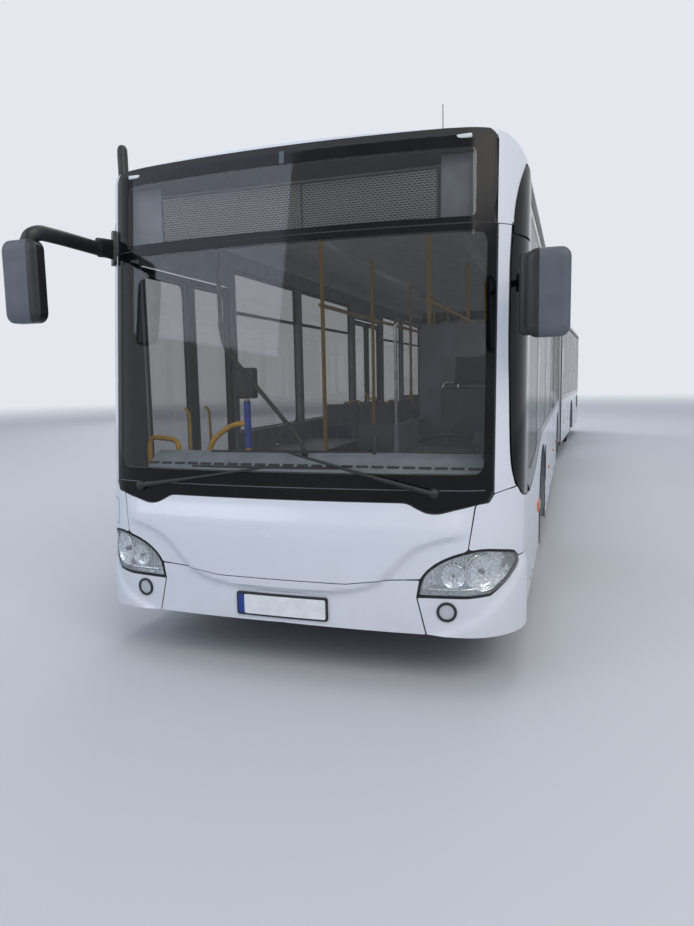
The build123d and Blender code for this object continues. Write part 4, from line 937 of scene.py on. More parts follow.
def sideBand(where, side):
    # the panes of one side as one piece, the trim strip over them and the frames of their hinged upper lights
    row, name, body = sideGlass[where], "SideGlass" + titled(where), bodyOf(where)
    low, high, clearHigh = sideGlass["low"], sideGlass["high"], sideGlass["clearHigh"]
    spans, panes = [span for span, clear in row], []
    for span, clear in row:
        outer = rectangle(*span, low, high)
        if span[0] == sideGlass["firstLow"][-1][0]:
            outer = [(span[0], high)] + list(reversed(sideGlass["firstLow"])) + [(span[1], high)]
        panes.append((outer, rectangle(*clear, sideGlass["clearLow"], clearHigh), 0.012, 0.055))
    if where == "frontLeft":
        start, end = sideGlass["driver"]
        outer = [(start, high)] + list(reversed(sideGlass["swoop"])) + [(end, high)]
        panes.append((outer, sideGlass["driverClear"], 0.012, 0.06))
        spans.append(sideGlass["driver"])
    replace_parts(glassPiece(name, panes, onSide(side), body, tintGlass), body.replace("section", "windows"))
    strips = [rectangle(*span, sideGlass["trimLow"], high) for span in spans]
    platePiece(name + "Trims", strips, onSide(side), body, blackPlastic, bus["lift"], 0.002)
    bm = bmesh.new()
    lowX, highX = sorted(side * (bus["halfWidth"] - inset) for inset in sideGlass["ventIn"])
    vent, bar, upright = sideGlass["vent"], sideGlass["ventBar"], sideGlass["ventSide"]
    for span, (start, end) in row:
        if end - start < 1.1:
            continue
        for bottom, top in ((vent - bar / 2, vent + bar / 2), (clearHigh - 0.026, clearHigh)):
            addBox(bm, at(lowX, start + 0.004, bottom), at(highX, end - 0.004, top))
        for edge in (start + 0.004, end - 0.026):
            addBox(bm, at(lowX, edge, vent + 0.0145), at(highX, edge + upright, clearHigh - 0.0265))
    finishPiece(bm, name + "Vents", [sealRubber], body)


makeWindscreen()
makeCornerGlass()
for where, side in sides:
    sideBand(where, side)
print("glass made")


# Side and roof panels

axles = {"front": 2.805, "middle": 8.705, "rear": 14.695, "height": 0.4785}
arches = {"front": 0.560, "middle": 0.530, "rear": 0.530}


def archCut(axle, margin, bottom, steps=20):
    # points up and over a wheel arch, from its rear foot to its front foot
    centre, height, radius = axles[axle], axles["height"], arches[axle] + margin
    start = math.asin((height - bottom) / radius) if bottom < height else 0.0
    points = []
    for i in range(steps + 1):
        angle = -start + (math.pi + 2 * start) * i / steps
        points.append((centre + radius * math.cos(angle), height + radius * math.sin(angle)))
    return points


def skirtPanel(start, end, bottom, top, axle=None):
    outline = [(start + gap, top - gap), (start + gap, bottom + gap)]
    if axle:
        outline += list(reversed(archCut(axle, 0.0, bottom + gap)))
    return outline + [(end - gap, bottom + gap), (end - gap, top - gap)]


sidePanels = {
    # first station, last station, bottom, top, and the axle whose arch cuts in
    "frontLeft": [
        (0.607, 1.180, 0.300, 0.950), (1.180, 1.900, 0.300, 0.975), (1.900, 3.740, 0.300, 1.0, "front"),
        (3.740, 5.003, 0.300, 0.720), (5.003, 6.546, 0.300, 0.720), (6.546, 7.820, 0.300, 0.720),
        (3.740, 5.003, 0.720, 1.166), (5.003, 6.546, 0.720, 1.166), (6.546, 7.820, 0.720, 1.166),
        (7.820, 9.645, 0.300, 1.166, "middle")],
    "frontRight": [
        (1.968, 3.740, 0.300, 1.166, "front"), (3.740, 5.340, 0.300, 0.720), (3.740, 5.340, 0.720, 1.166),
        (6.760, 7.820, 0.300, 0.720), (6.760, 7.820, 0.720, 1.166), (7.820, 9.645, 0.300, 1.166, "middle")],
    "rearLeft": [
        (10.966, 12.525, 0.300, 0.720), (12.525, 13.850, 0.300, 0.720), (10.966, 12.525, 0.720, 1.166),
        (12.525, 13.850, 0.720, 1.166), (13.850, 15.545, 0.300, 1.166, "rear"), (15.545, 17.055, 0.300, 1.166),
        (17.055, 17.900, 0.300, 1.166)],
    "rearRight": [
        (10.966, 11.800, 0.300, 0.720), (10.966, 11.800, 0.720, 1.166), (13.220, 13.850, 0.300, 1.166),
        (13.850, 15.545, 0.300, 1.166, "rear"), (15.545, 17.055, 0.300, 1.166), (17.055, 17.900, 0.300, 1.166)],
}
sidePanelTops = {
    # where the left glass dips towards the front, the panels under it follow
    (0.607, 1.180): [(0.610, 0.978), (0.930, 0.949), (1.177, 0.957)],
    (1.180, 1.900): [(1.183, 0.957), (1.553, 0.989), (1.897, 1.040)],
    (1.900, 3.740): [(1.903, 1.046), (2.300, 1.124), (2.833, 1.166), (3.737, 1.166)],
}
sideMarkers = {
    # first stations of the small lamps; the repeating indicator ahead of a front wheel has both its stations
    "frontLeft": (4.330, 6.120, 7.330), "frontRight": (4.330, 7.330),
    "rearLeft": (11.700, 13.150, 16.300, 17.600), "rearRight": (11.330, 13.500, 16.300, 17.600),
    "long": 0.090, "low": 0.650, "high": 0.682, "indicatorLow": 0.624, "indicatorHigh": 0.698,
    "indicator": {"frontLeft": (1.955, 2.145), "frontRight": (2.010, 2.150)},
}
lock = {"height": 0.352, "radius": 0.011, "inset": 0.090}


def sideSkin(where, side):
    # the panels under the windows with rubber lips round the arches, marker lamps and panel locks
    word, body, place = titled(where), bodyOf(where), onSide(side)
    outlines, lips, locks = [], [], []
    for start, end, bottom, top, *axle in sidePanels[where]:
        outline = skirtPanel(start, end, bottom, top, *axle)
        if side > 0 and (start, end) in sidePanelTops:
            outline = outline[1:-1] + list(reversed(sidePanelTops[(start, end)]))
        outlines.append(outline)
        if axle:
            low = bottom + gap + 0.001
            lips.append(archCut(*axle, 0.016, low, 40) + list(reversed(archCut(*axle, -0.003, low, 40))))
        elif bottom < 0.5:
            for middle in (start + lock["inset"], end - lock["inset"]):
                radius, turns = lock["radius"], [math.tau * i / 16 for i in range(16)]
                locks.append([(middle + radius * math.cos(turn), lock["height"] + radius * math.sin(turn))
                              for turn in turns])
    indicator = sideMarkers["indicator"].get(where)
    markers = [rectangle(*indicator, sideMarkers["indicatorLow"], sideMarkers["indicatorHigh"])] if indicator else []
    markers += [rectangle(start, start + sideMarkers["long"], sideMarkers["low"], sideMarkers["high"])
                for start in sideMarkers[where]]
    over = bus["overPanel"]
    platePiece("Skirt" + word, outlines, place, body, enamelWhite, bus["lift"], bus["panel"], 0.0, 0.0012)
    platePiece("ArchLips" + word, lips, place, body, sealRubber, over, 0.005, 0.0, 0.0012)
    platePiece("SideMarkers" + word, markers, place, body, amberLens, over, 0.012, 0.010, 0.002)
    platePiece("SkirtLocks" + word, locks, place, body, blackPlastic, over, 0.0015)


for where, side in sides:
    sideSkin(where, side)


def grille(name, side, body, start, end, low, high, blades):
    # a black surround with level blades, set on the skirt
    g, pitch = 0.012, (high - low) / blades
    frames = [rectangle(start, start + g, low, high), rectangle(end - g, end, low, high),
              rectangle(start + g, end - g, low, low + g), rectangle(start + g, end - g, high - g, high)]
    platePiece(name + "Frame", frames, onSide(side), body, blackPlastic, bus["overPanel"], 0.006, 0.0, 0.001)
    heights = [low + 0.014 + (high - low - 0.028) * i / blades for i in range(blades)]
    slats = [rectangle(start + g, end - g, height, height + pitch * 0.55) for height in heights]
    platePiece(name + "Blades", slats, onSide(side), body, sealRubber, bus["overPanel"], 0.003, 0.0, 0.0005)


grille("IntakeLeft", 1, "front_section", 3.392, 3.452, 0.650, 0.990, 22)
for word, side in (("Left", 1), ("Right", -1)):
    grille("EngineVent" + word, side, "rear_section", 17.150, 17.800, 0.740, 1.060, 14)

# The cant panels along both edges of the roof, by their girths
roof = {"cantFrom": 1.112, "cantTo": 1.3845}


def roofSkin(name, starts, body):
    # rounded cant panels along both edges, then the flat roof sheets between them
    near, far = roof["cantFrom"], roof["cantTo"]
    outlines = []
    for start, end in zip(starts, starts[1:]):
        for left, right in ((near, far), (-far, -near), (-near + gap * 2, near - gap * 2)):
            outlines.append(rectangle(left, right, start + gap, end - gap))
    cuts = [s * (near + (far - near) * i / 9) for s in (-1, 1) for i in range(1, 9)]
    cuts += [i * 0.25 - 1.0 for i in range(9)]
    platePiece(name, outlines, onShell, body, enamelWhite, bus["lift"], 0.002, across=cuts)


roofSkin("RoofSkinFront", [0.62, 1.90, 3.45, 5.00, 6.55, 8.09, 9.640], "front_section")
roofSkin("RoofSkinRear", [10.97, 12.53, 14.04, 15.55, 17.05, 17.88], "rear_section")
print("side and roof panels made")


# Doors: each leaf is glass in a black frame, turning on a shaft

door = {"starts": {"door_1": 0.640, "door_2": 5.400, "door_3": 11.860}, "width": 1.300, "leaf": 0.629,
        "margin": 0.014, "bottom": 0.356, "top": 2.426, "depth": 0.040, "frame": 0.062, "bar": 0.0527,
        "frameLow": 0.130, "barLow": 0.115, "glassRound": 0.012, "paneRound": 0.05,
        # the grab bar: its shift from the leaf's middle, (1 or 0 for out or at the foot, height) along it, its radius
        "grabShift": 0.17, "grab": ((0, 0.86), (1, 0.90), (1, 1.42), (0, 1.46)), "grabRadius": 0.011,
        "shaft": (0.3405, 2.4395), "shaftRadius": 0.0098,
        # the outside button as (radius, out): its bezel, then its face
        "button": (0.0033, 1.240), "bezel": [(0.024, 0.0), (0.024, 0.005), (0.020, 0.008), (0.017, 0.008)],
        "buttonFace": [(0.017, 0.008), (0.016, 0.0105), (0.009, 0.012), (0.0005, 0.012)],
        # the gap in the skin that each door fills
        "gaps": {"door_1": (0.640, 1.966), "door_2": (5.340, 6.762), "door_3": (11.799, 13.221)},
        "low": 0.303, "header": 2.446, "shaftX": -1.255, "shaftInset": 0.025}


def makeDoorLeaf(doorName, which):
    body = f"{doorName}_{which}_leaf"
    inset = door["margin"] if which == "front" else door["width"] - door["margin"] - door["leaf"]
    start = door["starts"][doorName] + inset
    end = start + door["leaf"]
    low, high, frameWidth = door["bottom"], door["top"], door["frame"]
    bm = bmesh.new()
    outer = rectangle(start + 0.006, end - 0.006, low + 0.004, high - 0.002)
    inner = rectangle(start + frameWidth, end - frameWidth, low + door["frameLow"], high - frameWidth)
    addPane(bm, outer, inner, door["glassRound"], door["paneRound"])
    layPlates(bm, onSide(-1), -0.006, 0.006)
    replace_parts(finishPiece(bm, f"{body}_Glass", [tintGlass, blackGlass], body, 30), body)
    bm = bmesh.new()                                         # frame behind the glass
    near, far, bar = -bus["halfWidth"] + 0.0065, -bus["halfWidth"] + door["depth"], door["bar"]
    for first, last, bottom, top in ((start, start + bar, low, high), (end - bar, end, low, high),
                                     (start + bar, end - bar, low, low + door["barLow"]),
                                     (start + bar, end - bar, high - bar, high)):
        addBox(bm, at(near, first, bottom), at(far, last, top), 0.006)
    finishPiece(bm, f"{body}_Frame", [blackPlastic], body)
    bm = bmesh.new()                                         # grab bar on the inside, on two stand-offs
    x, foot = far + 0.030, far - 0.004
    station = (start + end) / 2 + door["grabShift"] * (1 if which == "front" else -1)
    addPipe(bm, [at(x if out else foot, station, z) for out, z in door["grab"]], door["grabRadius"], 0.03)
    finishPiece(bm, f"{body}_GrabBar", [railYellow], body)
    bm = bmesh.new()                                         # the shaft that carries the leaf
    axis = start + door["shaftInset"] if which == "front" else end - door["shaftInset"]
    low, high = (at(door["shaftX"], axis, z) for z in door["shaft"])
    addRod(bm, low, high, door["shaftRadius"], None, 18)
    finishPiece(bm, f"{body}_Shaft", [brightMetal], body)


def makeDoorSurround(doorName):
    # the black header over both leaves, the strips beside them, and the outside button
    body = "rear_section" if doorName == "door_3" else "front_section"
    (before, after), start = door["gaps"][doorName], door["starts"][doorName]
    end, low, top = start + door["width"], door["low"], door["header"] - 0.006
    strips = [rectangle(before + gap, after - gap, door["header"], sideGlass["high"]),
              rectangle(end + gap, after - gap, low, top)]
    if start > before:
        strips.append(rectangle(before + gap, start - gap, low, top))
    platePiece(f"{doorName}_Surround", strips, onSide(-1), body, blackPlastic, bus["lift"], 0.003, 0.0, 0.0012)
    if after - end > 0.04:
        bm = bmesh.new()
        out, height = door["button"]
        spot = at(-bus["halfWidth"] - out, (end + after) / 2, height)
        addTurned(bm, door["bezel"], spot, (-1, 0, 0), 32)
        addTurned(bm, door["buttonFace"], spot, (-1, 0, 0), 32, 1)
        finishPiece(bm, f"{doorName}_Button", [brightMetal, railYellow], body)


for doorName in door["starts"]:
    makeDoorSurround(doorName)
    for which in ("front", "rear"):
        makeDoorLeaf(doorName, which)
print("doors made")


# Wheels

wheel = {"tyreRadius": 0.4785, "tyreHalf": 0.138, "rim": 0.300, "frontX": 1.0525, "twinX": 0.901,
         "twinHalf": 0.155, "steps": 96,
         # the pressed discs as (out, radius), their holes, the hub's start, radius and reach, and the nuts
         "twinDisc": [(0.024, 0.2640), (0.040, 0.2440), (0.092, 0.1860), (0.110, 0.1700), (0.116, 0.1500),
                      (0.116, 0.0900)],
         "frontDisc": [(0.044, 0.2640), (0.056, 0.2440), (0.086, 0.1860), (0.096, 0.1700), (0.102, 0.1500),
                       (0.102, 0.0900)],
         "holes": 10, "twinHub": (-0.112, 0.118, 0.170), "frontHub": (0.096, 0.090, 0.052), "nuts": 10,
         "nutRing": 0.1325}


def spinAround(bm, points, centre, side, material=0, steps=wheel["steps"]):
    # points are (distance outwards along the axle, radius) about a wheel centre, and close a ring
    part = bmesh.new()
    verts = [part.verts.new(centre + Vector((side * out, 0, radius))) for out, radius in points]
    edges = [part.edges.new(pair) for pair in zip(verts, verts[1:] + verts[:1])]
    bmesh.ops.spin(part, geom=verts + edges, cent=centre, axis=(1, 0, 0), angle=math.tau, steps=steps, use_merge=True)
    pourPainted(bm, part, material)


def tyreProfile():
    half, outer, rim = wheel["tyreHalf"], wheel["tyreRadius"], wheel["rim"]
    points = [(-half * 0.80, rim + 0.001), (-half * 0.94, rim + 0.030), (-half, outer * 0.80),
              (-half * 0.985, outer * 0.90), (-half * 0.93, outer * 0.965), (-half * 0.86, outer * 0.990)]
    groove, depth, rib = 0.0055, 0.011, half * 0.86
    for centre in (-0.072, -0.025, 0.025, 0.072):
        crown = outer - 0.004 * (centre / rib) ** 2
        points += [(centre - groove, crown), (centre - groove * 0.6, crown - depth),
                   (centre + groove * 0.6, crown - depth), (centre + groove, crown)]
    points += [(-x, r) for x, r in reversed(points[:6])]
    return points


def rimProfile():
    # a disc wheel: barrel, bead seats, and the disc at one side of it
    rim = wheel["rim"]
    return [(-0.128, rim), (-0.128, rim - 0.018), (-0.100, rim - 0.022), (-0.090, rim - 0.045), (0.060, rim - 0.045),
            (0.100, rim - 0.022), (0.128, rim - 0.018), (0.128, rim), (0.112, rim), (0.098, rim - 0.012),
            (0.058, rim - 0.034), (-0.088, rim - 0.034), (-0.100, rim - 0.012), (-0.112, rim)]


def makeTyres(name, node, body, centres):
    bm = bmesh.new()
    for centre in centres:
        spinAround(bm, tyreProfile(), centre, 1)
    bmesh.ops.remove_doubles(bm, verts=bm.verts, dist=1e-5)
    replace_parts(finishPiece(bm, name, [tyreRubber], body, 30), node)


def discWithHoles(bm, centre, side, profile):
    # the pressed disc, with hand holes cut through its second ring
    verts = [bm.verts.new(centre + Vector((side * out, 0, radius))) for out, radius in profile]
    edges = [bm.edges.new(pair) for pair in zip(verts, verts[1:])]
    bmesh.ops.spin(bm, geom=verts + edges, cent=centre, axis=(1, 0, 0), angle=math.tau, steps=60, use_merge=True)
    pitch, cut = 360 / wheel["holes"], []
    for face in bm.faces:
        middle = face.calc_center_median() - centre
        if profile[2][1] < math.hypot(middle.y, middle.z) < profile[1][1]:
            if math.degrees(math.atan2(middle.z, middle.y)) % pitch > pitch / 2:
                cut.append(face)
    bmesh.ops.delete(bm, geom=cut, context="FACES")


def makeRim(name, node, body, centres, side):
    # centres run from the outer wheel inwards; a twin wheel's outer disc is dished the other way
    twin = len(centres) > 1
    bm = bmesh.new()
    for centre in centres:
        spinAround(bm, rimProfile(), centre, 1, 0, 72)
        disc = bmesh.new()
        dished = -side if twin and centre is centres[0] else side
        discWithHoles(disc, centre, dished, wheel["twinDisc" if twin else "frontDisc"])
        bmesh.ops.solidify(disc, geom=disc.faces[:], thickness=0.008)
        pourInto(bm, disc)
    start, hub, reach = wheel["twinHub" if twin else "frontHub"]
    base = centres[0] + Vector((side * start, 0, 0))
    spinAround(bm, [(0.0, 0.001), (0.0, hub), (reach * 0.5, hub), (reach * 0.62, hub * 0.86), (reach * 0.9, hub * 0.80),
                    (reach, hub * 0.68), (reach, 0.001)], base, side, 1, 48)
    for i in range(wheel["nuts"]):
        angle = math.tau * (i + 0.5) / wheel["nuts"]
        spot = base + Vector((side * 0.004, math.cos(angle) * wheel["nutRing"], math.sin(angle) * wheel["nutRing"]))
        seat, tip = spot + Vector((side * 0.026, 0, 0)), spot + Vector((side * 0.042, 0, 0))
        addRod(bm, spot, seat, 0.0155, None, 6, 1)
        addRod(bm, seat, tip, 0.0105, 0.009, 14, 1)
    bmesh.ops.remove_doubles(bm, verts=bm.verts, dist=1e-5)
    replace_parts(finishPiece(bm, name, [rimSteel, castBlack], body, 30), node)


def makeWheels():
    height = axles["height"]
    for side, word in ((1, "left"), (-1, "right")):
        spot = at(side * wheel["frontX"], axles["front"], height)
        makeTyres(f"FrontTyre_{word}", f"front_{word}_tyre", f"front_{word}_wheel", [spot])
        makeRim(f"FrontRim_{word}", f"front_{word}_rim", f"front_{word}_wheel", [spot], side)
        for axle in ("middle", "rear"):
            pair = [at(side * (wheel["twinX"] + shift), axles[axle], height)
                    for shift in (wheel["twinHalf"], -wheel["twinHalf"])]
            makeTyres(f"TwinTyres_{axle}_{word}", f"{axle}_{word}_tyres", f"{axle}_{word}_wheels", pair)
            makeRim(f"TwinRims_{axle}_{word}", f"{axle}_{word}_rims", f"{axle}_{word}_wheels", pair, side)


makeWheels()
print("wheels made")


# The plain finishes that the fixed solids keep

def dress(material, *names):
    for name in names:
        slots = nodes[name].data.materials
        if not slots:
            slots.append(material)
        for i in range(len(slots)):
            slots[i] = material


dress(innerLining, "front_left_side", "front_right_side", "rear_left_side", "rear_right_side", "driver_cabin")
dress(ceilingPanel, "front_roof", "rear_roof")
dress(floorSandwich(), "front_floor", "rear_floor")
dress(frameDark, "front_mask", "front_bumper")
dress(browPaint, "front_brow")
dress(tailPaint, "tail_panel")
dress(framePaint, "front_joint_frame", "rear_joint_frame")
dress(castBlack, "front_axle", "middle_axle", "rear_axle", "left_knuckle", "right_knuckle", "engine")
dress(podPaint, "front_roof_pod", "rear_roof_pod")
dress(dashPlastic, "dashboard")
dress(railYellow, "front_handrails", "rear_handrails")
dress(enamelWhite, "engine_lid")
print("fixed solids dressed")


# Headlamps and fog lamps

lamp = {"main": (1.100, 0.640), "inner": (0.945, 0.622), "mainRadius": 0.096, "innerRadius": 0.060, "depth": 0.040,
        "fog": (0.911, 0.434), "fogRadius": 0.043,
        "chromeLine": [(0.815, 0.551), (0.900, 0.549), (1.000, 0.550), (1.060, 0.556)], "flutes": 9,
        "gasket": 0.006, "gasketWide": 0.020, "bulge": 0.009,
        # the bowl as (radius, height) and its rolled rim, as shares of its radius
        "bowl": [(1.0, 0.23), (0.97, 0.20), (0.90, 0.150), (0.885, 0.135), (0.74, 0.082), (0.725, 0.071), (0.52, 0.033),
                 (0.505, 0.025), (0.30, 0.0), (0.16, -0.016), (0.0, -0.016)],
        "rim": [(1.0, 0.23), (1.035, 0.255), (1.07, 0.23), (1.07, 0.10)],
        "shade": [(0.0, 0.20), (0.11, 0.19), (0.14, 0.12), (0.14, 0.0)]}
lampCuts = stepsBetween(0.75, 1.55, 0.03)


def addBowl(bm, x, z, radius, tilt, out):
    # a stepped reflector bowl with its rolled rim and the bulb shade in the middle
    axis = Vector((tilt, -1, 0)).normalized()
    back = onFront(runAcross(x), z, out) - axis * radius * 0.23
    for part, steps, material in (("bowl", 18, 1), ("rim", 36, 1), ("shade", 20, 2)):
        addTurned(bm, [(max(0.0005, radius * r), radius * h) for r, h in lamp[part]], back, axis, steps, material)


def lensRelief(run, z):
    # the lens bulges between its lower and upper edge
    return lamp["bulge"] * smoothStep(0, 0.08, z - 0.50) * smoothStep(0, 0.08, 0.78 - z)


def makeHeadlampBowls():
    bm = bmesh.new()
    drawPlate(bm, grown(lampLine, -0.002))
    cutLines(bm, lampCuts)
    walls = bmesh.ops.extrude_edge_only(bm, edges=[e for e in bm.edges if e.is_boundary])["geom"]
    bmesh.ops.translate(bm, verts=[g for g in walls if isinstance(g, bmesh.types.BMVert)], vec=(0, -0.003, 0))
    layOn(bm, onFront, -lamp["depth"], lamp["depth"] - 0.001)
    addBowl(bm, *lamp["main"], lamp["mainRadius"], 0.56, -0.016)
    addBowl(bm, *lamp["inner"], lamp["innerRadius"], 0.13, -0.008)
    addPipe(bm, [onFront(runAcross(x), z, -0.010) for x, z in lamp["chromeLine"]], 0.0065, 0.02, 12, 1)
    for i in range(lamp["flutes"]):                          # flutes of the silver panel behind the bowls
        x = 0.858 + i * 0.021
        addPipe(bm, [onFront(runAcross(x), 0.566, -0.022), onFront(runAcross(x + 0.006), 0.700 + i * 0.004, -0.022)],
                0.0045, 0.0, 10)
    mirrorAcross(bm)
    piece = finishPiece(bm, "HeadlampBowls", [chromeTrimPaintedGlints, chromeBowlPaintedGlints, blackPlastic], "front_section", 18)
    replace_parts(piece, "front_lamps")


def makeHeadlampLenses():
    bm = bmesh.new()
    drawPlate(bm, grown(lampLine, -0.003))
    cutLines(bm, lampCuts, stepsBetween(0.50, 0.77, 0.03))
    layPlates(bm, onFront, -0.001, 0.003, lensRelief)
    mirrorAcross(bm)
    finishPiece(bm, "HeadlampLenses", [lampLens], "front_section", 30)


def makeHeadlampGaskets():
    # black gasket round each lens, broad at the outer tip and below
    bm = bmesh.new()
    thin, wide = grown(lampLine, -lamp["gasket"]), grown(lampLine, -lamp["gasketWide"])
    outer, inner = [bm.verts.new((x, 0.0, z)) for x, z in grown(lampLine, 0.0015)], []
    for (x, z), (wideX, wideZ) in zip(thin, wide):
        share = smoothStep(1.16, 1.27, x) * smoothStep(0.76, 0.70, z)
        inner.append(bm.verts.new((x + (wideX - x) * share, 0.0, z + (wideZ - z) * share)))
    for i in range(len(outer)):
        bm.faces.new((outer[i - 1], outer[i], inner[i], inner[i - 1]))
    cutLines(bm, lampCuts)
    layPlates(bm, onFront, -0.002, 0.0055)
    mirrorAcross(bm)
    finishPiece(bm, "HeadlampGaskets", [sealRubber], "front_section", 30, 0.0012)


def makeFogLamps():
    bm = bmesh.new()
    spot, normal = frontFrame(*lamp["fog"])
    r = lamp["fogRadius"]
    bezel = [(r + 0.010, 0.0), (r + 0.010, 0.0105), (r + 0.004, 0.0135), (r - 0.002, 0.0125), (r - 0.004, 0.006)]
    bowl = [(r - 0.003, 0.006), (r * 0.8, -0.006), (r * 0.5, -0.014), (0.0005, -0.016)]
    lens = [(r - 0.003, 0.0085), (r * 0.8, 0.0115), (r * 0.4, 0.0140), (0.0005, 0.0145)]
    for profile, steps, material in ((bezel, 40, 1), (bowl, 36, 2), (lens, 36, 0)):
        addTurned(bm, profile, spot, normal, steps, material)
    mirrorAcross(bm)
    finishPiece(bm, "FogLamps", [fogLens, blackPlastic, chromeBowlPaintedGlints], "front_section", 40)


def drawNumberPlate(bm, low, rounds, bandRounds):
    # a blank plate, its blue band at the bus's right
    drawPlate(bm, rectangle(-0.2225, 0.260, low, low + 0.110), rounds, 0)
    drawPlate(bm, rectangle(-0.260, -0.2235, low, low + 0.110), bandRounds, 1)


def makeNumberPlate():
    bm = bmesh.new()
    drawNumberPlate(bm, 0.3545, 0.010, 0.006)
    cutLines(bm, frontSteps(-1, 1))
    layPlates(bm, onFront, 0.0165, 0.003)
    finishPiece(bm, "NumberPlate", [plateWhite, plateBlue], "front_section", 30, 0.0008)
    platePiece("NumberPlateHolder", [rectangle(-0.272, 0.272, 0.343, 0.4765)], onFront, "front_section", blackPlastic,
               0.0025, 0.0135, 0.014, 0.002, across=frontSteps(-1, 1))
    bm = bmesh.new()                                         # blank round badge
    addTurned(bm, [(0.078, 0.002), (0.078, 0.020), (0.074, 0.024), (0.060, 0.0255), (0.030, 0.0265), (0.0005, 0.027)],
              *frontFrame(0.0, 0.643), 48)
    finishPiece(bm, "BadgeDisc", [blackPlastic], "front_section", 40)


# Wipers: a pivot, a bent arm and a blade each, lying just off the glass

wiper = {
    # pivot, elbow, blade ends, all (x, z)
    "rows": [((0.843, 1.059), (0.048, 1.270), (-0.415, 1.266), (0.511, 1.274)),
             ((-0.914, 1.053), (-0.085, 1.182), (-0.544, 1.179), (0.375, 1.184))],
    "pivot": [(0.030, 0.0), (0.030, 0.022), (0.024, 0.034), (0.012, 0.040), (0.0005, 0.041)],
    # the arm's radii at its stations, first going into each rod and then coming out of it
    "armAt": (0.0, 0.15, 0.3, 0.45, 0.6, 0.75, 0.9, 1.0),
    "armIn": (0.015, 0.014, 0.012, 0.009, 0.008, 0.007, 0.007),
    "armOut": (0.014, 0.012, 0.009, 0.008, 0.007, 0.007, 0.006),
}


def onScreen(start, end, share, out=0.0, drop=0.0):
    # a place on the line between two (x, height) points of the front
    x, z = (a + (b - a) * share for a, b in zip(start, end))
    return onFront(runAcross(x), z - drop, out)


def makeWipers():
    bm = bmesh.new()
    for pivot, elbow, first, last in wiper["rows"]:
        addTurned(bm, wiper["pivot"], *frontFrame(*pivot, -0.004), 24)
        arm = [onScreen(pivot, elbow, t, 0.030 + 0.004 * math.sin(math.pi * t)) for t in wiper["armAt"]]
        for start, end, radius, radiusEnd in zip(arm, arm[1:], wiper["armIn"], wiper["armOut"]):
            addRod(bm, start, end, radius, radiusEnd, 12)
        for start, end in ((i / 12, (i + 1) / 12) for i in range(12)):
            for out, drop, radius, segments, material in ((0.017, 0.0, 0.0065, 8, 0), (0.007, 0.002, 0.0032, 6, 1)):
                addRod(bm, onScreen(first, last, start, out, drop), onScreen(first, last, end, out, drop), radius,
                       None, segments, material)
        for t in (0.12, 0.35, 0.65, 0.88):                   # bridge claws over the blade
            addRod(bm, onScreen(first, last, t, 0.008), onScreen(first, last, t, 0.026), 0.008, 0.006, 8)
        addRod(bm, onScreen(first, last, 0.3, 0.027), onScreen(first, last, 0.7, 0.027), 0.006, None, 8)
    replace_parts(finishPiece(bm, "Wipers", [blackPlastic, sealRubber], "front_section", 40), "wipers")


# Mirrors: a moulded housing with the glass set in its back, on an oval arm from a foot on the pillar

mirrors = {
    # corners of the housing as (x, station, height), then where its black inboard part ends
    "left": {"low": (1.300, 0.018, 1.836), "high": (1.500, 0.082, 2.247), "split": 1.358, "inboard": 1},
    "right": {"low": (-1.484, -0.282, 1.994), "high": (-1.250, -0.222, 2.440), "split": -1.312, "inboard": -1},
    "leftArm": [(1.255, 0.430, 2.140), (1.345, 0.085, 2.140)], "leftRadius": 0.018,
    "leftFoot": (1.236, 1.270, 2.092, 2.188),
    "rightArm": [(-1.183, 0.299, 2.450), (-1.215, 0.150, 2.462), (-1.262, -0.080, 2.480), (-1.290, -0.205, 2.486),
                 (-1.318, -0.248, 2.462), (-1.348, -0.252, 2.415)],
    "rightRadius": 0.026, "rightTall": 1.62, "rightFoot": (1.142, 1.198, 2.372, 2.580), "ribs": 5,
    "knuckle": [(-1.178, 0.305, 2.470), (-1.197, 0.235, 2.470), (-1.208, 0.185, 2.466)], "knuckleRadius": 0.030,
    "knuckleTall": 1.9, "cover": ((1.263, 0.020, 1.846), (1.335, 0.080, 2.239)),
    "coverRib": (1.292, 0.0195, 1.885, 2.200),
}


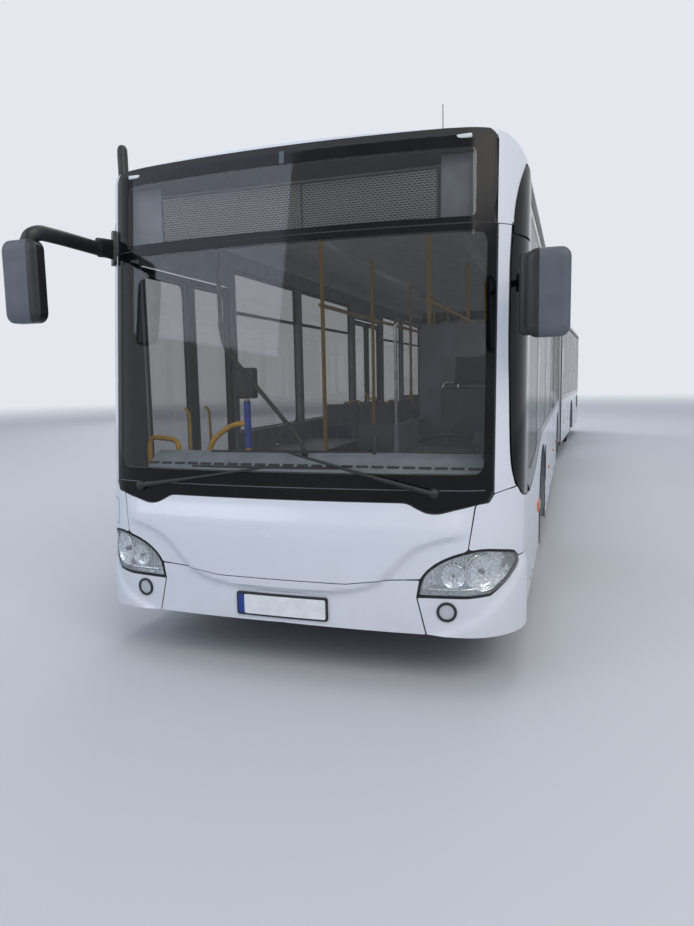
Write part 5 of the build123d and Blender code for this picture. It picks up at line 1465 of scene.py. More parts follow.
def addHousing(bm, low, high, taper, split, inboard):
    # a rounded, slightly crowned housing, its glass on the +y side, its inboard part ribbed and black
    size = [b - a for a, b in zip(low, high)]
    centre = Vector([(a + b) / 2 for a, b in zip(low, high)])
    part = bmesh.new()
    bmesh.ops.create_cube(part, size=1.0, matrix=Matrix.Translation(centre) @ Matrix.Diagonal((*size, 1)))
    edges = [e for e in part.edges if abs((e.verts[0].co - e.verts[1].co).y) > 1e-4]
    bmesh.ops.bevel(part, geom=edges, offset=min(size[0], size[2]) * 0.24, segments=8, profile=0.5, affect="EDGES",
                    material=-1)
    part.normal_update()
    ahead = [f for f in part.faces if f.normal.y < -0.9]
    for inset, depth in ((0.008, 0.007), (0.012, 0.006), (0.014, 0.003)):
        bmesh.ops.inset_region(part, faces=ahead, thickness=inset, depth=depth, use_even_offset=True)
    bmesh.ops.scale(part, verts=list({v for f in ahead for v in f.verts}), vec=(taper, 1, taper),
                    space=Matrix.Translation(-centre))
    part.normal_update()
    behind = [f for f in part.faces if f.normal.y > 0.9]
    bmesh.ops.inset_region(part, faces=behind, thickness=0.010, depth=0.0, use_even_offset=True)
    bmesh.ops.inset_region(part, faces=behind, thickness=0.001, depth=-0.010, use_even_offset=True)
    for face in behind:
        face.material_index = 2
    spot = Vector((split, 0, 0))
    bmesh.ops.bisect_plane(part, geom=part.verts[:] + part.edges[:] + part.faces[:], dist=1e-5, plane_co=spot,
                           plane_no=(1, 0, 0))
    for face in part.faces:
        if face.material_index == 0 and (face.calc_center_median().x - split) * inboard < 0:
            face.material_index = 1
    pourInto(bm, part)
    front = min(low[1], high[1])
    near = low[0] if inboard > 0 else high[0]
    for i in range(mirrors["ribs"]):                         # upright ribs moulded into the black part
        x = near + (split - near) * (i + 1.2) / (mirrors["ribs"] + 0.6)
        reach = size[2] * (0.30 + 0.028 * i)
        addRod(bm, (x, front - 0.0045, centre.z - reach), (x, front - 0.0045, centre.z + reach), 0.0036, 0.0036, 10, 1)


def makeMirrors():
    bm = bmesh.new()
    for which in ("left", "right"):
        row = mirrors[which]
        addHousing(bm, at(*row["low"]), at(*row["high"]), 0.92, row["split"], row["inboard"])
    addBox(bm, at(*mirrors["cover"][0]), at(*mirrors["cover"][1]), 0.024, 1, 5)    # joint cover of the left housing
    x, station, low, high = mirrors["coverRib"]
    for shift in (0.0, 0.0095, 0.0190, 0.0285):
        addRod(bm, at(x + shift, station, low), at(x + shift, station, high), 0.0030, None, 8, 1)
    addPipe(bm, [at(*p) for p in mirrors["leftArm"]], mirrors["leftRadius"], 0.05, 16, 1)
    addPipe(bm, [at(*p) for p in mirrors["knuckle"]], mirrors["knuckleRadius"], 0.03, 28, 1, 6, mirrors["knuckleTall"])
    addPipe(bm, [at(*p) for p in mirrors["rightArm"]], mirrors["rightRadius"], 0.06, 28, 1, 6, mirrors["rightTall"])
    for side, (near, far, low, high), rounds in ((1, mirrors["leftFoot"], 0.010), (-1, mirrors["rightFoot"], 0.020)):
        part = bmesh.new()
        drawPlate(part, rectangle(runAcross(near), runAcross(far), low, high), rounds, 1)
        cutLines(part, frontSteps(0, 2))
        thicken(part)
        bmesh.ops.scale(part, verts=part.verts, vec=(side, 1, 1))
        layOn(part, onFront, 0.0045, 0.0225)
        pourInto(bm, part)
    piece = finishPiece(bm, "Mirrors", [mirrorGrey, mirrorBlack, mirrorFace], "front_section", 40, 0.0015)
    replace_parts(piece, "mirrors")


# Destination board behind the upper glass

def makeDestinationBoard():
    half, low, high, face, back = 0.820, 2.441, 2.735, 0.305, 0.350
    bm = bmesh.new()
    addBox(bm, at(-half - 0.012, face + 0.004, low - 0.006), at(half + 0.012, back, high + 0.008), 0.006)
    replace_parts(finishPiece(bm, "SignBox", [blackPlastic], "front_section"), "destination_board")
    bm = bmesh.new()
    for left, right in ((-half, 0.056), (0.066, half)):
        addBox(bm, at(left, face - 0.004, low + 0.002), at(right, face + 0.003, high - 0.002), 0.002)
    finishPiece(bm, "SignLampBoard", [signBoard], "front_section")
    bm = bmesh.new()                                         # plain screens either side of the board
    for side in (-1, 1):
        left, right = sorted((side * 0.840, side * 1.06))
        addBox(bm, at(left, face + 0.010, low), at(right, face + 0.022, 2.80))
    finishPiece(bm, "SignSideScreens", [innerLining], "front_section")


# Pillar covers beside the screen, and marker lamps over the display

def makeBrow():
    pillar = wrapPoints([(1.141, 1.056), (1.190, 1.070), (1.238, 1.081), (1.228, 1.110), (1.208, 1.243), (1.196, 1.630),
                         (1.191, 1.839), (1.191, 2.139), (1.192, 2.259), (1.199, 2.424), (1.141, 2.424)])
    bm = bmesh.new()
    drawPlate(bm, pillar[:2] + smoothLine(pillar[2:-1]) + pillar[-1:], 0.002)
    cutLines(bm, frontSteps(0, 3), stepsBetween(1.0, 3.0, 0.1))
    layPlates(bm, onFront, bus["lift"], 0.004)
    mirrorAcross(bm)
    finishPiece(bm, "PillarCovers", [enamelWhite], "front_section", 30, 0.001)
    bm = bmesh.new()                                         # clear marker lamps in the top corners of the display
    for x in (-0.966, 0.966):
        spot = onFront(runAcross(x), 2.862)
        addBox(bm, spot - Vector((0.045, 0.004, 0.011)), spot + Vector((0.045, 0.014, 0.011)), 0.006)
    finishPiece(bm, "MarkerLampsFront", [whiteLens], "front_section")


makeHeadlampBowls()
makeHeadlampLenses()
makeHeadlampGaskets()
makeFogLamps()
makeNumberPlate()
makeWipers()
makeMirrors()
makeDestinationBoard()
makeBrow()
print("front fittings made")


# Tail: white panel plates, window, lamps, the plate in its holder and the lid's latch

tail = {"corner": 0.160, "out": 18.125, "windowHalf": 1.000, "windowLow": 1.560, "windowHigh": 2.500,
        "clearHalf": 0.948, "clearLow": 1.612, "clearHigh": 2.448, "lidHalf": 0.820, "belt": 1.460, "foot": 0.320,
        "crest": 2.700, "lampNear": 1.002, "lampFar": 1.168, "crossHalf": 0.995}


def onTail(x, z, out=0.0):
    # flat back with rounded edges down its sides
    side, across = math.copysign(1, x), abs(x)
    flat = bus["halfWidth"] - tail["corner"]
    radius = tail["corner"] + out
    if across <= flat:
        return at(x, tail["out"] + out, z)
    angle = min((across - flat) / tail["corner"], math.pi / 2)
    beyond = max(0.0, across - flat - tail["corner"] * math.pi / 2)
    return at(side * (flat + radius * math.sin(angle)),
              tail["out"] - tail["corner"] + radius * math.cos(angle) - beyond, z)


def tailPanels(name, outlines, mirrored):
    flat = bus["halfWidth"] - tail["corner"]
    cuts = [s * (flat + tail["corner"] * math.pi / 2 * i / 8) for s in (-1, 1) for i in range(9)]
    platePiece(name, outlines, onTail, "rear_section", enamelWhite, bus["lift"], bus["panel"], 0.0, 0.0012, cuts,
               mirrored=mirrored)


def makeTail():
    half, belt, foot, crest, cross = (tail[key] for key in ("windowHalf", "belt", "foot", "crest", "crossHalf"))
    near, far, low, high = tail["lampNear"], tail["lampFar"], tail["windowLow"], tail["windowHigh"]
    edge = bus["halfWidth"] - tail["corner"] + tail["corner"] * math.pi / 2 + 0.02
    tailPanels("TailPanels", [
        rectangle(half + gap, edge, belt + gap, crest), rectangle(1.175, edge, foot, belt - gap),
        rectangle(tail["lidHalf"] + 0.010, cross, 0.560, belt - gap), rectangle(near, far, 1.372, belt - gap)], True)
    tailPanels("TailCrossPanels", [
        rectangle(-half + gap, half - gap, 2.510, crest), rectangle(-cross, cross, belt + gap, low - 0.008),
        rectangle(-0.813, 0.813, 1.400, belt - gap), rectangle(-cross, cross, foot, 0.545),
        rectangle(-far, -near, foot, 0.690), rectangle(near, far, foot, 0.690)], False)
    bm = bmesh.new()
    clear = rectangle(-tail["clearHalf"], tail["clearHalf"], tail["clearLow"], tail["clearHigh"])
    addPane(bm, rectangle(-half, half, low, high), clear, 0.06, 0.05)
    layPlates(bm, onTail, bus["lift"], 0.005)
    finishPiece(bm, "TailWindow", [tintGlass, blackGlass], "rear_section", 30)


def makeTailLamps():
    for name, material, bands in (("RedLamps", redLens, ((0.705, 0.905), (1.118, 1.352))),
                                  ("AmberLamps", amberLens, ((0.913, 1.015),)),
                                  ("ReverseLamps", whiteLens, ((1.023, 1.110),))):
        piece = platePiece("Tail" + name, [rectangle(1.016, 1.154, *band) for band in bands], onTail, "rear_section",
                           material, 0.004, 0.018, 0.012, 0.005, mirrored=True, segments=3)
        if material is redLens:
            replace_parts(piece, "tail_lamps")
    platePiece("TailLampBacks", [rectangle(1.005, 1.165, 0.694, 1.366)], onTail, "rear_section", blackPlastic,
               -0.004, 0.0095, 0.016, 0.002, mirrored=True)


def makeTailFittings():
    bm = bmesh.new()                                         # plate holder with its plate, under the lid
    drawPlate(bm, rectangle(-0.272, 0.272, 0.375, 0.508), 0.014, 2)
    layPlates(bm, onTail, bus["overPanel"], 0.0075)
    part = bmesh.new()
    drawNumberPlate(part, 0.3865, 0.008, 0.008)
    layPlates(part, onTail, 0.0112, 0.002)
    pourInto(bm, part)
    finishPiece(bm, "RearNumberPlate", [plateWhite, plateBlue, blackPlastic], "rear_section", 30, 0.0008)
    # high stop lamp over the window, between two marker lamps
    outlines = [rectangle(-0.190, 0.190, 2.570, 2.606)]
    outlines += [rectangle(x - 0.055, x + 0.055, 2.574, 2.602) for x in (-0.960, 0.960)]
    platePiece("HighStopLamps", outlines, onTail, "rear_section", redLens, bus["overPanel"], 0.016, 0.012, 0.003)
    bm = bmesh.new()                                         # round reflectors in the lower corners
    for x in (-1.085, 1.085):
        spot = onTail(x, 0.600, bus["overPanel"])
        addTurned(bm, [(0.041, 0.0), (0.041, 0.006), (0.038, 0.008), (0.036, 0.007)], spot, (0, 1, 0), 36, 1)
        addTurned(bm, [(0.036, 0.007), (0.030, 0.0085), (0.0005, 0.0095)], spot, (0, 1, 0), 36)
    finishPiece(bm, "RearReflectors", [redLens, blackPlastic], "rear_section")
    bm = bmesh.new()                                         # the lid's latch and its rubber pull
    station = tail["out"] + 0.0085
    addBox(bm, at(-0.070, station, 0.585), at(0.070, station + 0.012, 0.625), 0.006, 0, 3)
    addBox(bm, at(-0.045, station + 0.0125, 0.590), at(0.045, station + 0.020, 0.606), 0.004, 1)
    finishPiece(bm, "LidLatch", [blackPlastic, sealRubber], "engine_lid")


makeTail()
makeTailLamps()
makeTailFittings()
print("tail made")


# Roof fittings: hatch lids, aerials, and the grilles and fans of the air-conditioning pods

hatchLid = {"half": 0.395, "long": 0.785, "rise": 0.075, "thick": 0.016, "round": 0.006,
            # the ribs' places across the lid, their half width, their ends and how high they stand
            "ribs": (-0.26, -0.13, 0.0, 0.13, 0.26), "ribHalf": 0.022, "ribEnds": (0.09, 0.69), "ribTop": 0.024,
            "hinges": (-0.30, 0.30), "hingeHalf": 0.05, "hingeRadius": 0.009}


def makeHatchLids(name, stations, body):
    bm = bmesh.new()
    half, top = hatchLid["half"], bus["sideTop"] + bus["roofCorner"] + hatchLid["rise"]
    for station in stations:
        addBox(bm, at(-half, station - 0.005, top + 0.0004),
               at(half, station + hatchLid["long"], top + hatchLid["thick"]), hatchLid["round"], 0, 3)
        first, last = (station + reach for reach in hatchLid["ribEnds"])
        for x in hatchLid["ribs"]:                           # stiffening ribs pressed into the lid
            addBox(bm, at(x - hatchLid["ribHalf"], first, top + hatchLid["thick"] + 0.0004),
                   at(x + hatchLid["ribHalf"], last, top + hatchLid["ribTop"]), hatchLid["round"], 0, 3)
        for x in hatchLid["hinges"]:
            start, end = (at(x + reach, station - 0.012, top + 0.010)
                          for reach in (-hatchLid["hingeHalf"], hatchLid["hingeHalf"]))
            addRod(bm, start, end, hatchLid["hingeRadius"], None, 14, 1)
    finishPiece(bm, name, [podPaint, blackPlastic], body, 40)


aerials = {
    # foot, (radius, height) up the turned shape, steps round it
    "stub": ((-1.130, 0.372, 2.886), [(0.036, 0.0), (0.036, 0.020), (0.031, 0.028), (0.031, 0.150), (0.0295, 0.185),
                                      (0.022, 0.203), (0.010, 0.210), (0.0005, 0.211)], 32),
    "whip": ((0.641, 1.500, 2.9105), [(0.030, 0.0), (0.030, 0.010), (0.020, 0.022), (0.012, 0.052), (0.0075, 0.060),
                                      (0.0075, 0.085), (0.0035, 0.092), (0.0028, 0.570), (0.0035, 0.574),
                                      (0.0035, 0.5785), (0.0005, 0.5795)], 20),
}


def makeAerials():
    bm = bmesh.new()
    for place, profile, steps in (aerials["stub"], aerials["whip"]):
        addTurned(bm, profile, at(*place), (0, 0, 1), steps)
    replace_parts(finishPiece(bm, "Aerials", [blackPlastic], "front_section", 40), "aerials")


pods = {"top": 3.120, "half": 0.900, "slotLow": 2.960, "slotPitch": 0.026, "slots": 4, "fanInset": 0.700,
        "guard": (0.075, 0.110, 0.145, 0.180, 0.215, 0.245), "spokes": 12, "blades": 7,
        # a fan blade's corners: out along it, across it, up
        "blade": [(0.075, -0.03, 0.0045), (0.235, -0.06, 0.0050), (0.235, 0.045, 0.0010), (0.075, 0.02, 0.0010)]}


def addFan(bm, centre):
    # a wire guard of rings and spokes with the blades under it
    for radius in pods["guard"]:
        wire = [(radius + 0.0025 * a, 0.012 + 0.0025 * b) for a, b in ((-1, 0), (0, 1), (1, 0), (0, -1), (-1, 0))]
        addTurned(bm, wire, centre, (0, 0, 1), 40)
    lift = Vector((0, 0, 0.009))
    for i in range(pods["spokes"]):
        angle = math.tau * i / pods["spokes"]
        way = Vector((math.cos(angle), math.sin(angle), 0))
        addRod(bm, centre + way * 0.068 + lift, centre + way * 0.2485 + lift, 0.0028, None, 8)
    for i in range(pods["blades"]):
        angle = math.tau * i / pods["blades"]
        way, across = Vector((math.cos(angle), math.sin(angle), 0)), Vector((-math.sin(angle), math.cos(angle), 0))
        part = bmesh.new()
        part.faces.new([part.verts.new(centre + way * out + across * wide + Vector((0, 0, up)))
                        for out, wide, up in pods["blade"]])
        part.normal_update()
        bmesh.ops.solidify(part, geom=part.faces[:], thickness=0.0008)
        pourInto(bm, part)


def makePodFittings(name, start, length, body):
    bm = bmesh.new()
    for station in (start + pods["fanInset"], start + length - pods["fanInset"]):
        addFan(bm, at(0, station, pods["top"] - 0.0195))
    for side in (-1, 1):                                     # dark louvre blades in the side slots
        for i in range(pods["slots"]):
            z = pods["slotLow"] + pods["slotPitch"] * i
            inner, outer = sorted((side * (pods["half"] - 0.0115), side * (pods["half"] - 0.002)))
            addBox(bm, at(inner, start + 0.353, z + 0.0012), at(outer, start + length - 0.353, z + 0.0070),
                   0.0015, 0, 1)
    for side in (-1, 1):                                     # bolted seams between the three covers of the pod
        x = side * (pods["half"] + 0.0012)
        for station in (start + length * share for share in (1 / 3, 2 / 3)):
            addRod(bm, at(x, station, 2.915), at(x, station, 3.055), 0.003, None, 8)
    finishPiece(bm, name, [blackPlastic], body, 40)


makeHatchLids("RoofHatchLidsFront", [2.600, 7.600], "front_section")
makeHatchLids("RoofHatchLidRear", [15.500], "rear_section")
makeAerials()
makePodFittings("PodFittingsFront", 4.300, 2.700, "front_section")
makePodFittings("PodFittingsRear", 12.300, 2.500, "rear_section")
print("roof fittings made")


# Bellows: one corrugated sleeve of coated cloth between the two portals, with a metal hoop on each crest

bellows = {"start": 9.7065, "end": 10.9035, "hoops": 13, "crest": -0.016, "valley": -0.083, "edge": -0.055,
           "thick": 0.003}
bellows["pitch"] = (bus["rearStart"] - bus["frontEnd"]) / (bellows["hoops"] + 1)


def onBellows(girth, station, out=0.0):
    share = (station - bus["frontEnd"]) / (bus["rearStart"] - bus["frontEnd"])
    return swung(max(0.0, min(1.0, share))) @ onShell(girth, station, out)


def foldDepth(station):
    phase = ((station - bus["frontEnd"]) / bellows["pitch"]) % 1.0
    wave = abs(phase - 0.5) * 2                              # 1 on a crest, 0 in a valley
    edge = min(1.0, (station - bellows["start"]) / 0.03, (bellows["end"] - station) / 0.03)
    depth = bellows["valley"] + (bellows["crest"] - bellows["valley"]) * (wave ** 0.8)
    return depth if edge >= 1 else bellows["edge"] * (1 - edge) + depth * edge


def girthCuts():
    flat = bus["halfWidth"] - bus["roofCorner"]
    bend = bus["roofCorner"] * math.pi / 2
    side = flat + bend + (bus["sideTop"] - 0.345)
    cuts = [flat * i / 6 for i in range(-6, 7)]
    cuts += [s * (flat + bend * i / 10) for s in (-1, 1) for i in range(1, 11)]
    cuts += [s * (flat + bend + (side - flat - bend) * i / 6) for s in (-1, 1) for i in range(1, 6)]
    return cuts, side


def spanBoth(bm, name, material):
    # a piece that bends over the pivot, from one portal to the other
    piece = finishPiece(bm, name, [material], "front_section", 50)
    piece.parent = None
    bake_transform(piece)
    return piece


def makeBellows():
    cuts, side = girthCuts()
    bm = bmesh.new()
    drawPlate(bm, rectangle(-side, side, bellows["start"], bellows["end"]))
    stations = [bus["frontEnd"] + bellows["pitch"] * i / 6 for i in range(1, (bellows["hoops"] + 1) * 6)]
    cutLines(bm, cuts, stations + [bellows["start"] + 0.015, bellows["end"] - 0.015])
    thicken(bm)
    heights = [v.co.y for v in bm.verts]
    back, front = max(heights), min(heights)
    for v in bm.verts:
        share = (back - v.co.y) / (back - front)
        v.co = onBellows(v.co.x, v.co.z, foldDepth(v.co.z) + bellows["thick"] * (share - 1))
    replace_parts(spanBoth(bm, "BellowsSleeve", bellowsCloth), "bellows")
    bm = bmesh.new()                                         # the hoops: clamp strips along the crests
    girths = [-side + 0.004] + sorted(cuts) + [side - 0.004]
    for i in range(1, bellows["hoops"] + 1):
        station = bus["frontEnd"] + bellows["pitch"] * i
        addPipe(bm, [onBellows(g, station, bellows["crest"] + 0.002) for g in girths], 0.0065, 0.0, 8, 0, 1)
    spanBoth(bm, "BellowsHoops", brightMetal)


makeBellows()
print("bellows made")


# Steering wheel on its column

steering = {"centre": at(0.830, 0.760, 1.180), "tilt": 28, "radius": 0.225, "grip": 0.0144, "rise": 0.040,
            "boss": [(0.0005, 0.032), (0.045, 0.030), (0.072, 0.018), (0.078, 0.004), (0.070, -0.012), (0.046, -0.030),
                     (0.040, -0.038)]}


def makeSteeringWheel():
    tilt = math.radians(steering["tilt"])
    axis = Vector((0, math.sin(tilt), math.cos(tilt)))
    level = Vector((1, 0, 0))
    up = axis.cross(level)
    rim = steering["centre"] + axis * steering["rise"]
    radius, grip, turns = steering["radius"], steering["grip"], [math.tau * i / 14 for i in range(15)]
    bm = bmesh.new()
    addTurned(bm, [(radius + grip * math.cos(turn), grip * math.sin(turn)) for turn in turns], rim, axis, 64)
    addTurned(bm, steering["boss"], rim - axis * 0.010, axis, 36)
    for angle in (math.radians(90), math.radians(210), math.radians(330)):
        way = level * math.cos(angle) + up * math.sin(angle)
        spoke = [rim - axis * 0.010 + way * 0.06, rim - axis * 0.008 + way * 0.14, rim + way * (radius - 0.004)]
        addPipe(bm, spoke, 0.0105, 0.05, 10)
    bmesh.ops.remove_doubles(bm, verts=bm.verts, dist=1e-5)
    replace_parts(finishPiece(bm, "SteeringWheelRim", [blackPlastic], "steering_wheel", 40), "steering_wheel")


makeSteeringWheel()


# Seats. One cushion and one back pad are shaped once and then set on every shell.

seat = {"width": 0.430, "height": 0.430, "thick": 0.060, "padWidth": 0.396, "cushion": 0.050, "cushionLong": 0.400,
        "backLong": 0.520, "back": 0.042, "window": 0.980, "aisle": 0.535, "voxel": 0.012, "swell": 0.010,
        "lean": math.atan2(0.140, 0.590),
        # the shell in side view, as (station, height), and half its width
        "shell": [(0.0, 0.368), (0.405, 0.368), (0.432, 0.380), (0.523, 1.012), (0.516, 1.020), (0.470, 1.020),
                  (0.456, 1.010), (0.372, 0.430), (0.360, 0.405), (0.012, 0.398), (0.0, 0.390)], "shellHalf": 0.208}
seatRows = {
    # station, side and base height of each pair of seats, and the station of the bench across the tail
    "front": [(3.560, 1, 0.350), (4.320, 1, 0.350), (5.080, 1, 0.350), (7.320, 1, 0.350), (3.560, -1, 0.350),
              (4.320, -1, 0.350), (7.320, -1, 0.350)],
    "rear": [(11.250, 1, 0.350), (12.010, 1, 0.350), (12.770, 1, 0.350), (13.300, -1, 0.350), (15.420, 1, 0.700),
             (15.420, -1, 0.700)],
    "bench": 16.170,
}


def padMesh(width, length, thick, crown):
    # a crowned pad lying in x and y, its sides drawn in between the corners
    bm = bmesh.new()
    bmesh.ops.create_cube(bm, size=1.0)
    bmesh.ops.subdivide_edges(bm, edges=bm.edges[:], cuts=9, use_grid_fill=True)
    for v in bm.verts:
        u, w, h = v.co.x * 2, v.co.y * 2, v.co.z * 2
        draw = 1 - 0.030 * (1 - w * w) * abs(u) ** 4
        drawLong = 1 - 0.026 * (1 - u * u) * abs(w) ** 4
        edge = (1 - abs(u) ** 5) * (1 - abs(w) ** 5)
        v.co.x = u * width / 2 * draw * (1 - 0.02 * abs(h) ** 3 * abs(u))
        v.co.y = w * length / 2 * drawLong * (1 - 0.02 * abs(h) ** 3 * abs(w))
        lift = crown * edge if h > 0 else 0.0
        v.co.z = h * thick / 2 * (0.72 + 0.28 * edge ** 0.5) + lift
    return bm


def swellPad(bm, name, cap):
    # remesh, then a short cloth run with air pressure, held to a cap
    mesh = bpy.data.meshes.new(name)
    bm.to_mesh(mesh)
    bm.free()
    piece = bpy.data.objects.new(name, mesh)
    bpy.context.scene.collection.objects.link(piece)
    remesh = piece.modifiers.new("Even", "REMESH")
    remesh.mode, remesh.voxel_size = "VOXEL", seat["voxel"]
    evaluated = piece.evaluated_get(bpy.context.evaluated_depsgraph_get())
    even = bpy.data.meshes.new_from_object(evaluated)
    piece.modifiers.clear()
    piece.data = even
    before = [v.co.copy() for v in even.vertices]
    cloth = piece.modifiers.new("Swell", "CLOTH")
    cloth.settings.use_pressure, cloth.settings.uniform_pressure_force = True, 4.0
    cloth.settings.effector_weights.gravity = 0.0
    cloth.settings.quality = 4
    for number in range(1, 16):
        bpy.context.scene.frame_set(number)
    evaluated = piece.evaluated_get(bpy.context.evaluated_depsgraph_get())
    swollen = bpy.data.meshes.new_from_object(evaluated)
    for v, start in zip(swollen.vertices, before):
        move = v.co - start
        if move.length > cap:
            v.co = start + move * (cap / move.length)
    bpy.context.scene.frame_set(1)
    bpy.data.objects.remove(piece)
    return swollen


def addSeam(bm, width, length, z):
    # piping round the pad's edge
    corners = [(-1, -1), (1, -1), (1, 1), (-1, 1), (-1, -1)]
    addPipe(bm, [Vector((x * width / 2, y * length / 2, z)) for x, y in corners], 0.0035, 0.03, 8, 0, 4)


cushionPad = swellPad(padMesh(seat["padWidth"], seat["cushionLong"], seat["cushion"], 0.010), "CushionPad",
                      seat["swell"])
backPad = swellPad(padMesh(seat["padWidth"] - 0.01, seat["backLong"], seat["back"], 0.008), "BackPad", seat["swell"])


def seatPlaces(which):
    places = [(side * x, station, base) for station, side, base in seatRows[which]
              for x in (seat["window"], seat["aisle"])]
    if which == "rear":
        places += [(i * (seat["width"] + 0.015), seatRows["bench"], 0.700) for i in range(-2, 3)]
    return places


def setPad(bm, part, spot, tilt):
    # turns a pad about the x axis, sets it in its place and adds it to the piece
    bmesh.ops.transform(part, verts=part.verts, matrix=Matrix.Translation(spot) @ Matrix.Rotation(tilt, 4, "X"))
    pourInto(bm, part)


def addPads(bm, x, station, base):
    lean = seat["lean"]
    top = base + seat["height"] - seat["thick"] + 0.030
    part = bmesh.new()
    part.from_mesh(cushionPad)
    addSeam(part, seat["padWidth"] * 0.985, 0.396, 0.004)
    setPad(bm, part, at(x, station + 0.190, top + 0.008), math.radians(-2))
    part = bmesh.new()
    part.from_mesh(backPad)
    addSeam(part, (seat["padWidth"] - 0.01) * 0.985, 0.514, 0.003)
    spot = at(x, station + 0.392 + 0.27 * math.sin(lean), base + seat["height"] + 0.050 + 0.27 * math.cos(lean))
    setPad(bm, part, spot, math.pi / 2 - lean)


def drawProfile(bm, outline, left, right):
    # a (station, height) outline drawn out across the bus
    face = bm.faces.new([bm.verts.new(at(left, station, z)) for station, z in outline])
    made = bmesh.ops.extrude_face_region(bm, geom=[face])["geom"]
    bmesh.ops.translate(bm, verts=[g for g in made if isinstance(g, bmesh.types.BMVert)], vec=(right - left, 0, 0))


def addSeatShell(bm, x, station, base):
    # one moulded shell, hollow under the pads, with a grab handle on its top corner, on its foot
    part = bmesh.new()
    outline, half = [(station + s, base + z) for s, z in seat["shell"]], seat["shellHalf"]
    drawProfile(part, outline, x - half, x + half)
    rims = [e for e in part.edges if abs((e.verts[0].co - e.verts[1].co).x) < 1e-6]
    bmesh.ops.bevel(part, geom=rims, offset=0.006, segments=2, profile=0.5, affect="EDGES", material=-1)
    pourInto(bm, part)
    grip = x + (0.15 if x < 0 else -0.15)
    handle = [(-0.055, 0.508, 0.985), (-0.055, 0.520, 1.055), (0.055, 0.520, 1.055), (0.055, 0.508, 0.985)]
    addPipe(bm, [at(grip + across, station + s, base + z) for across, s, z in handle], 0.0115, 0.035, 12, 1)
    addBox(bm, at(x - 0.055, station + 0.145, base + 0.0006), at(x + 0.055, station + 0.295, base + 0.366), 0.010, 2)


def makeSeats(which, body, node):
    shells, pads = bmesh.new(), bmesh.new()
    for place in seatPlaces(which):
        addSeatShell(shells, *place)
        addPads(pads, *place)
    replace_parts(finishPiece(shells, f"ChairShells_{which}", [chairShell, railYellow, brightMetal], body, 40), node)
    finishPiece(pads, f"ChairPads_{which}", [seatPlush], body, 60)


def makeDriverSeat():
    bm = bmesh.new()
    x, station, base = 0.830, 1.060, 0.560
    addSeatShell(bm, x, station, base)
    addBox(bm, at(x - 0.17, station + 0.06, base + 0.0006), at(x + 0.17, station + 0.38, base + 0.10), 0.012, 2)
    for i in range(6):                                       # rubber gaiter of the sprung seat
        z, half = base + 0.105 + i * 0.042, 0.150 - 0.008 * (i % 2)
        addBox(bm, at(x - half, station + 0.085, z), at(x + half, station + 0.355, z + 0.038), 0.012, 2)
    piece = finishPiece(bm, "DriverChairFrame", [blackPlastic, brightMetal, sealRubber], "front_section", 40)
    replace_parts(piece, "driver_seat")
    pads = bmesh.new()
    addPads(pads, x, station, base)
    part = bmesh.new()                                       # head rest
    part.from_mesh(backPad)
    bmesh.ops.scale(part, vec=(0.70, 0.42, 1.5), verts=part.verts)
    setPad(pads, part, at(x, station + 0.555, base + 1.135), math.pi / 2 - seat["lean"])
    finishPiece(pads, "DriverChairPads", [driverPlush], "front_section", 60)


makeSeats("front", "front_section", "front_seats")
makeSeats("rear", "rear_section", "rear_seats")
makeDriverSeat()
print("seats made")


# Driver's place and entrance: slots in the dash, instrument hood, screens, guard rails, cabin glass

cab = {
    # the defrosting slots along the sloping lip of the dash
    "slotFrom": -1.080, "slotTo": 1.090, "slotPitch": 0.090, "slotGap": 0.018, "slotLow": 0.008, "slotHigh": 0.026,
    "lipTurn": math.atan2(0.055, 0.068), "lipStation": 0.262, "lipHeight": 1.150,
    # side views as (station, height): the pad on the dash, the instrument hood and its face
    "padLeft": -0.985, "padRight": 1.112,
    "pad": [(0.236, 1.0935), (0.236, 1.128), (0.262, 1.150), (0.330, 1.205), (0.395, 1.230), (0.428, 1.222),
            (0.434, 1.200), (0.434, 1.108), (0.300, 1.1335)],
    "hood": [(0.400, 1.231), (0.420, 1.266), (0.480, 1.284), (0.545, 1.266), (0.520, 1.100), (0.436, 1.112),
             (0.436, 1.200)],
    "face": [(0.5360, 1.248), (0.5440, 1.248), (0.5255, 1.118), (0.5195, 1.118)],
    # screens on stalks, fares in the middle and journey at the side: x, station, height, width, tallness
    "screens": ((0.440, 0.400, 1.320, 0.210, 0.150), (1.060, 0.380, 1.310, 0.120, 0.090)),
    "stay": [(0.050, 0.330, 1.095), (0.013, 0.350, 1.286), (-0.572, 0.500, 1.880), (-0.586, 0.505, 2.440)],
    "stayClamps": ((0.026, 0.343, 1.220), (-0.575, 0.501, 2.000)),
    # the entrance rails stand in one plane: radius, bend, segments and (x, height) along each
    "railStation": 0.500,
    "rails": ((0.0165, 0.06, 18, [(-1.150, 0.3515), (-1.132, 1.302), (-0.915, 1.283), (-0.900, 0.3515)]),
              (0.0165, 0.10, 18, [(-0.700, 0.3515), (-0.690, 1.270), (-0.525, 1.382), (-0.4145, 1.392)]),
              (0.0170, 0.0, 20, [(-0.414, 0.3515), (-0.414, 1.540)])),
    "flanges": (-1.150, -0.900, -0.700, -0.414),
    "glassX": 0.4105, "glass": (1.012, 1.812, 1.353, 2.020),
}


def addProfile(bm, outline, left, right, bevel, material=0):
    part = bmesh.new()
    drawProfile(part, outline, left, right)
    bmesh.ops.bevel(part, geom=part.edges[:], offset=bevel, segments=3, profile=0.5, affect="EDGES", material=-1)
    pourPainted(bm, part, material)


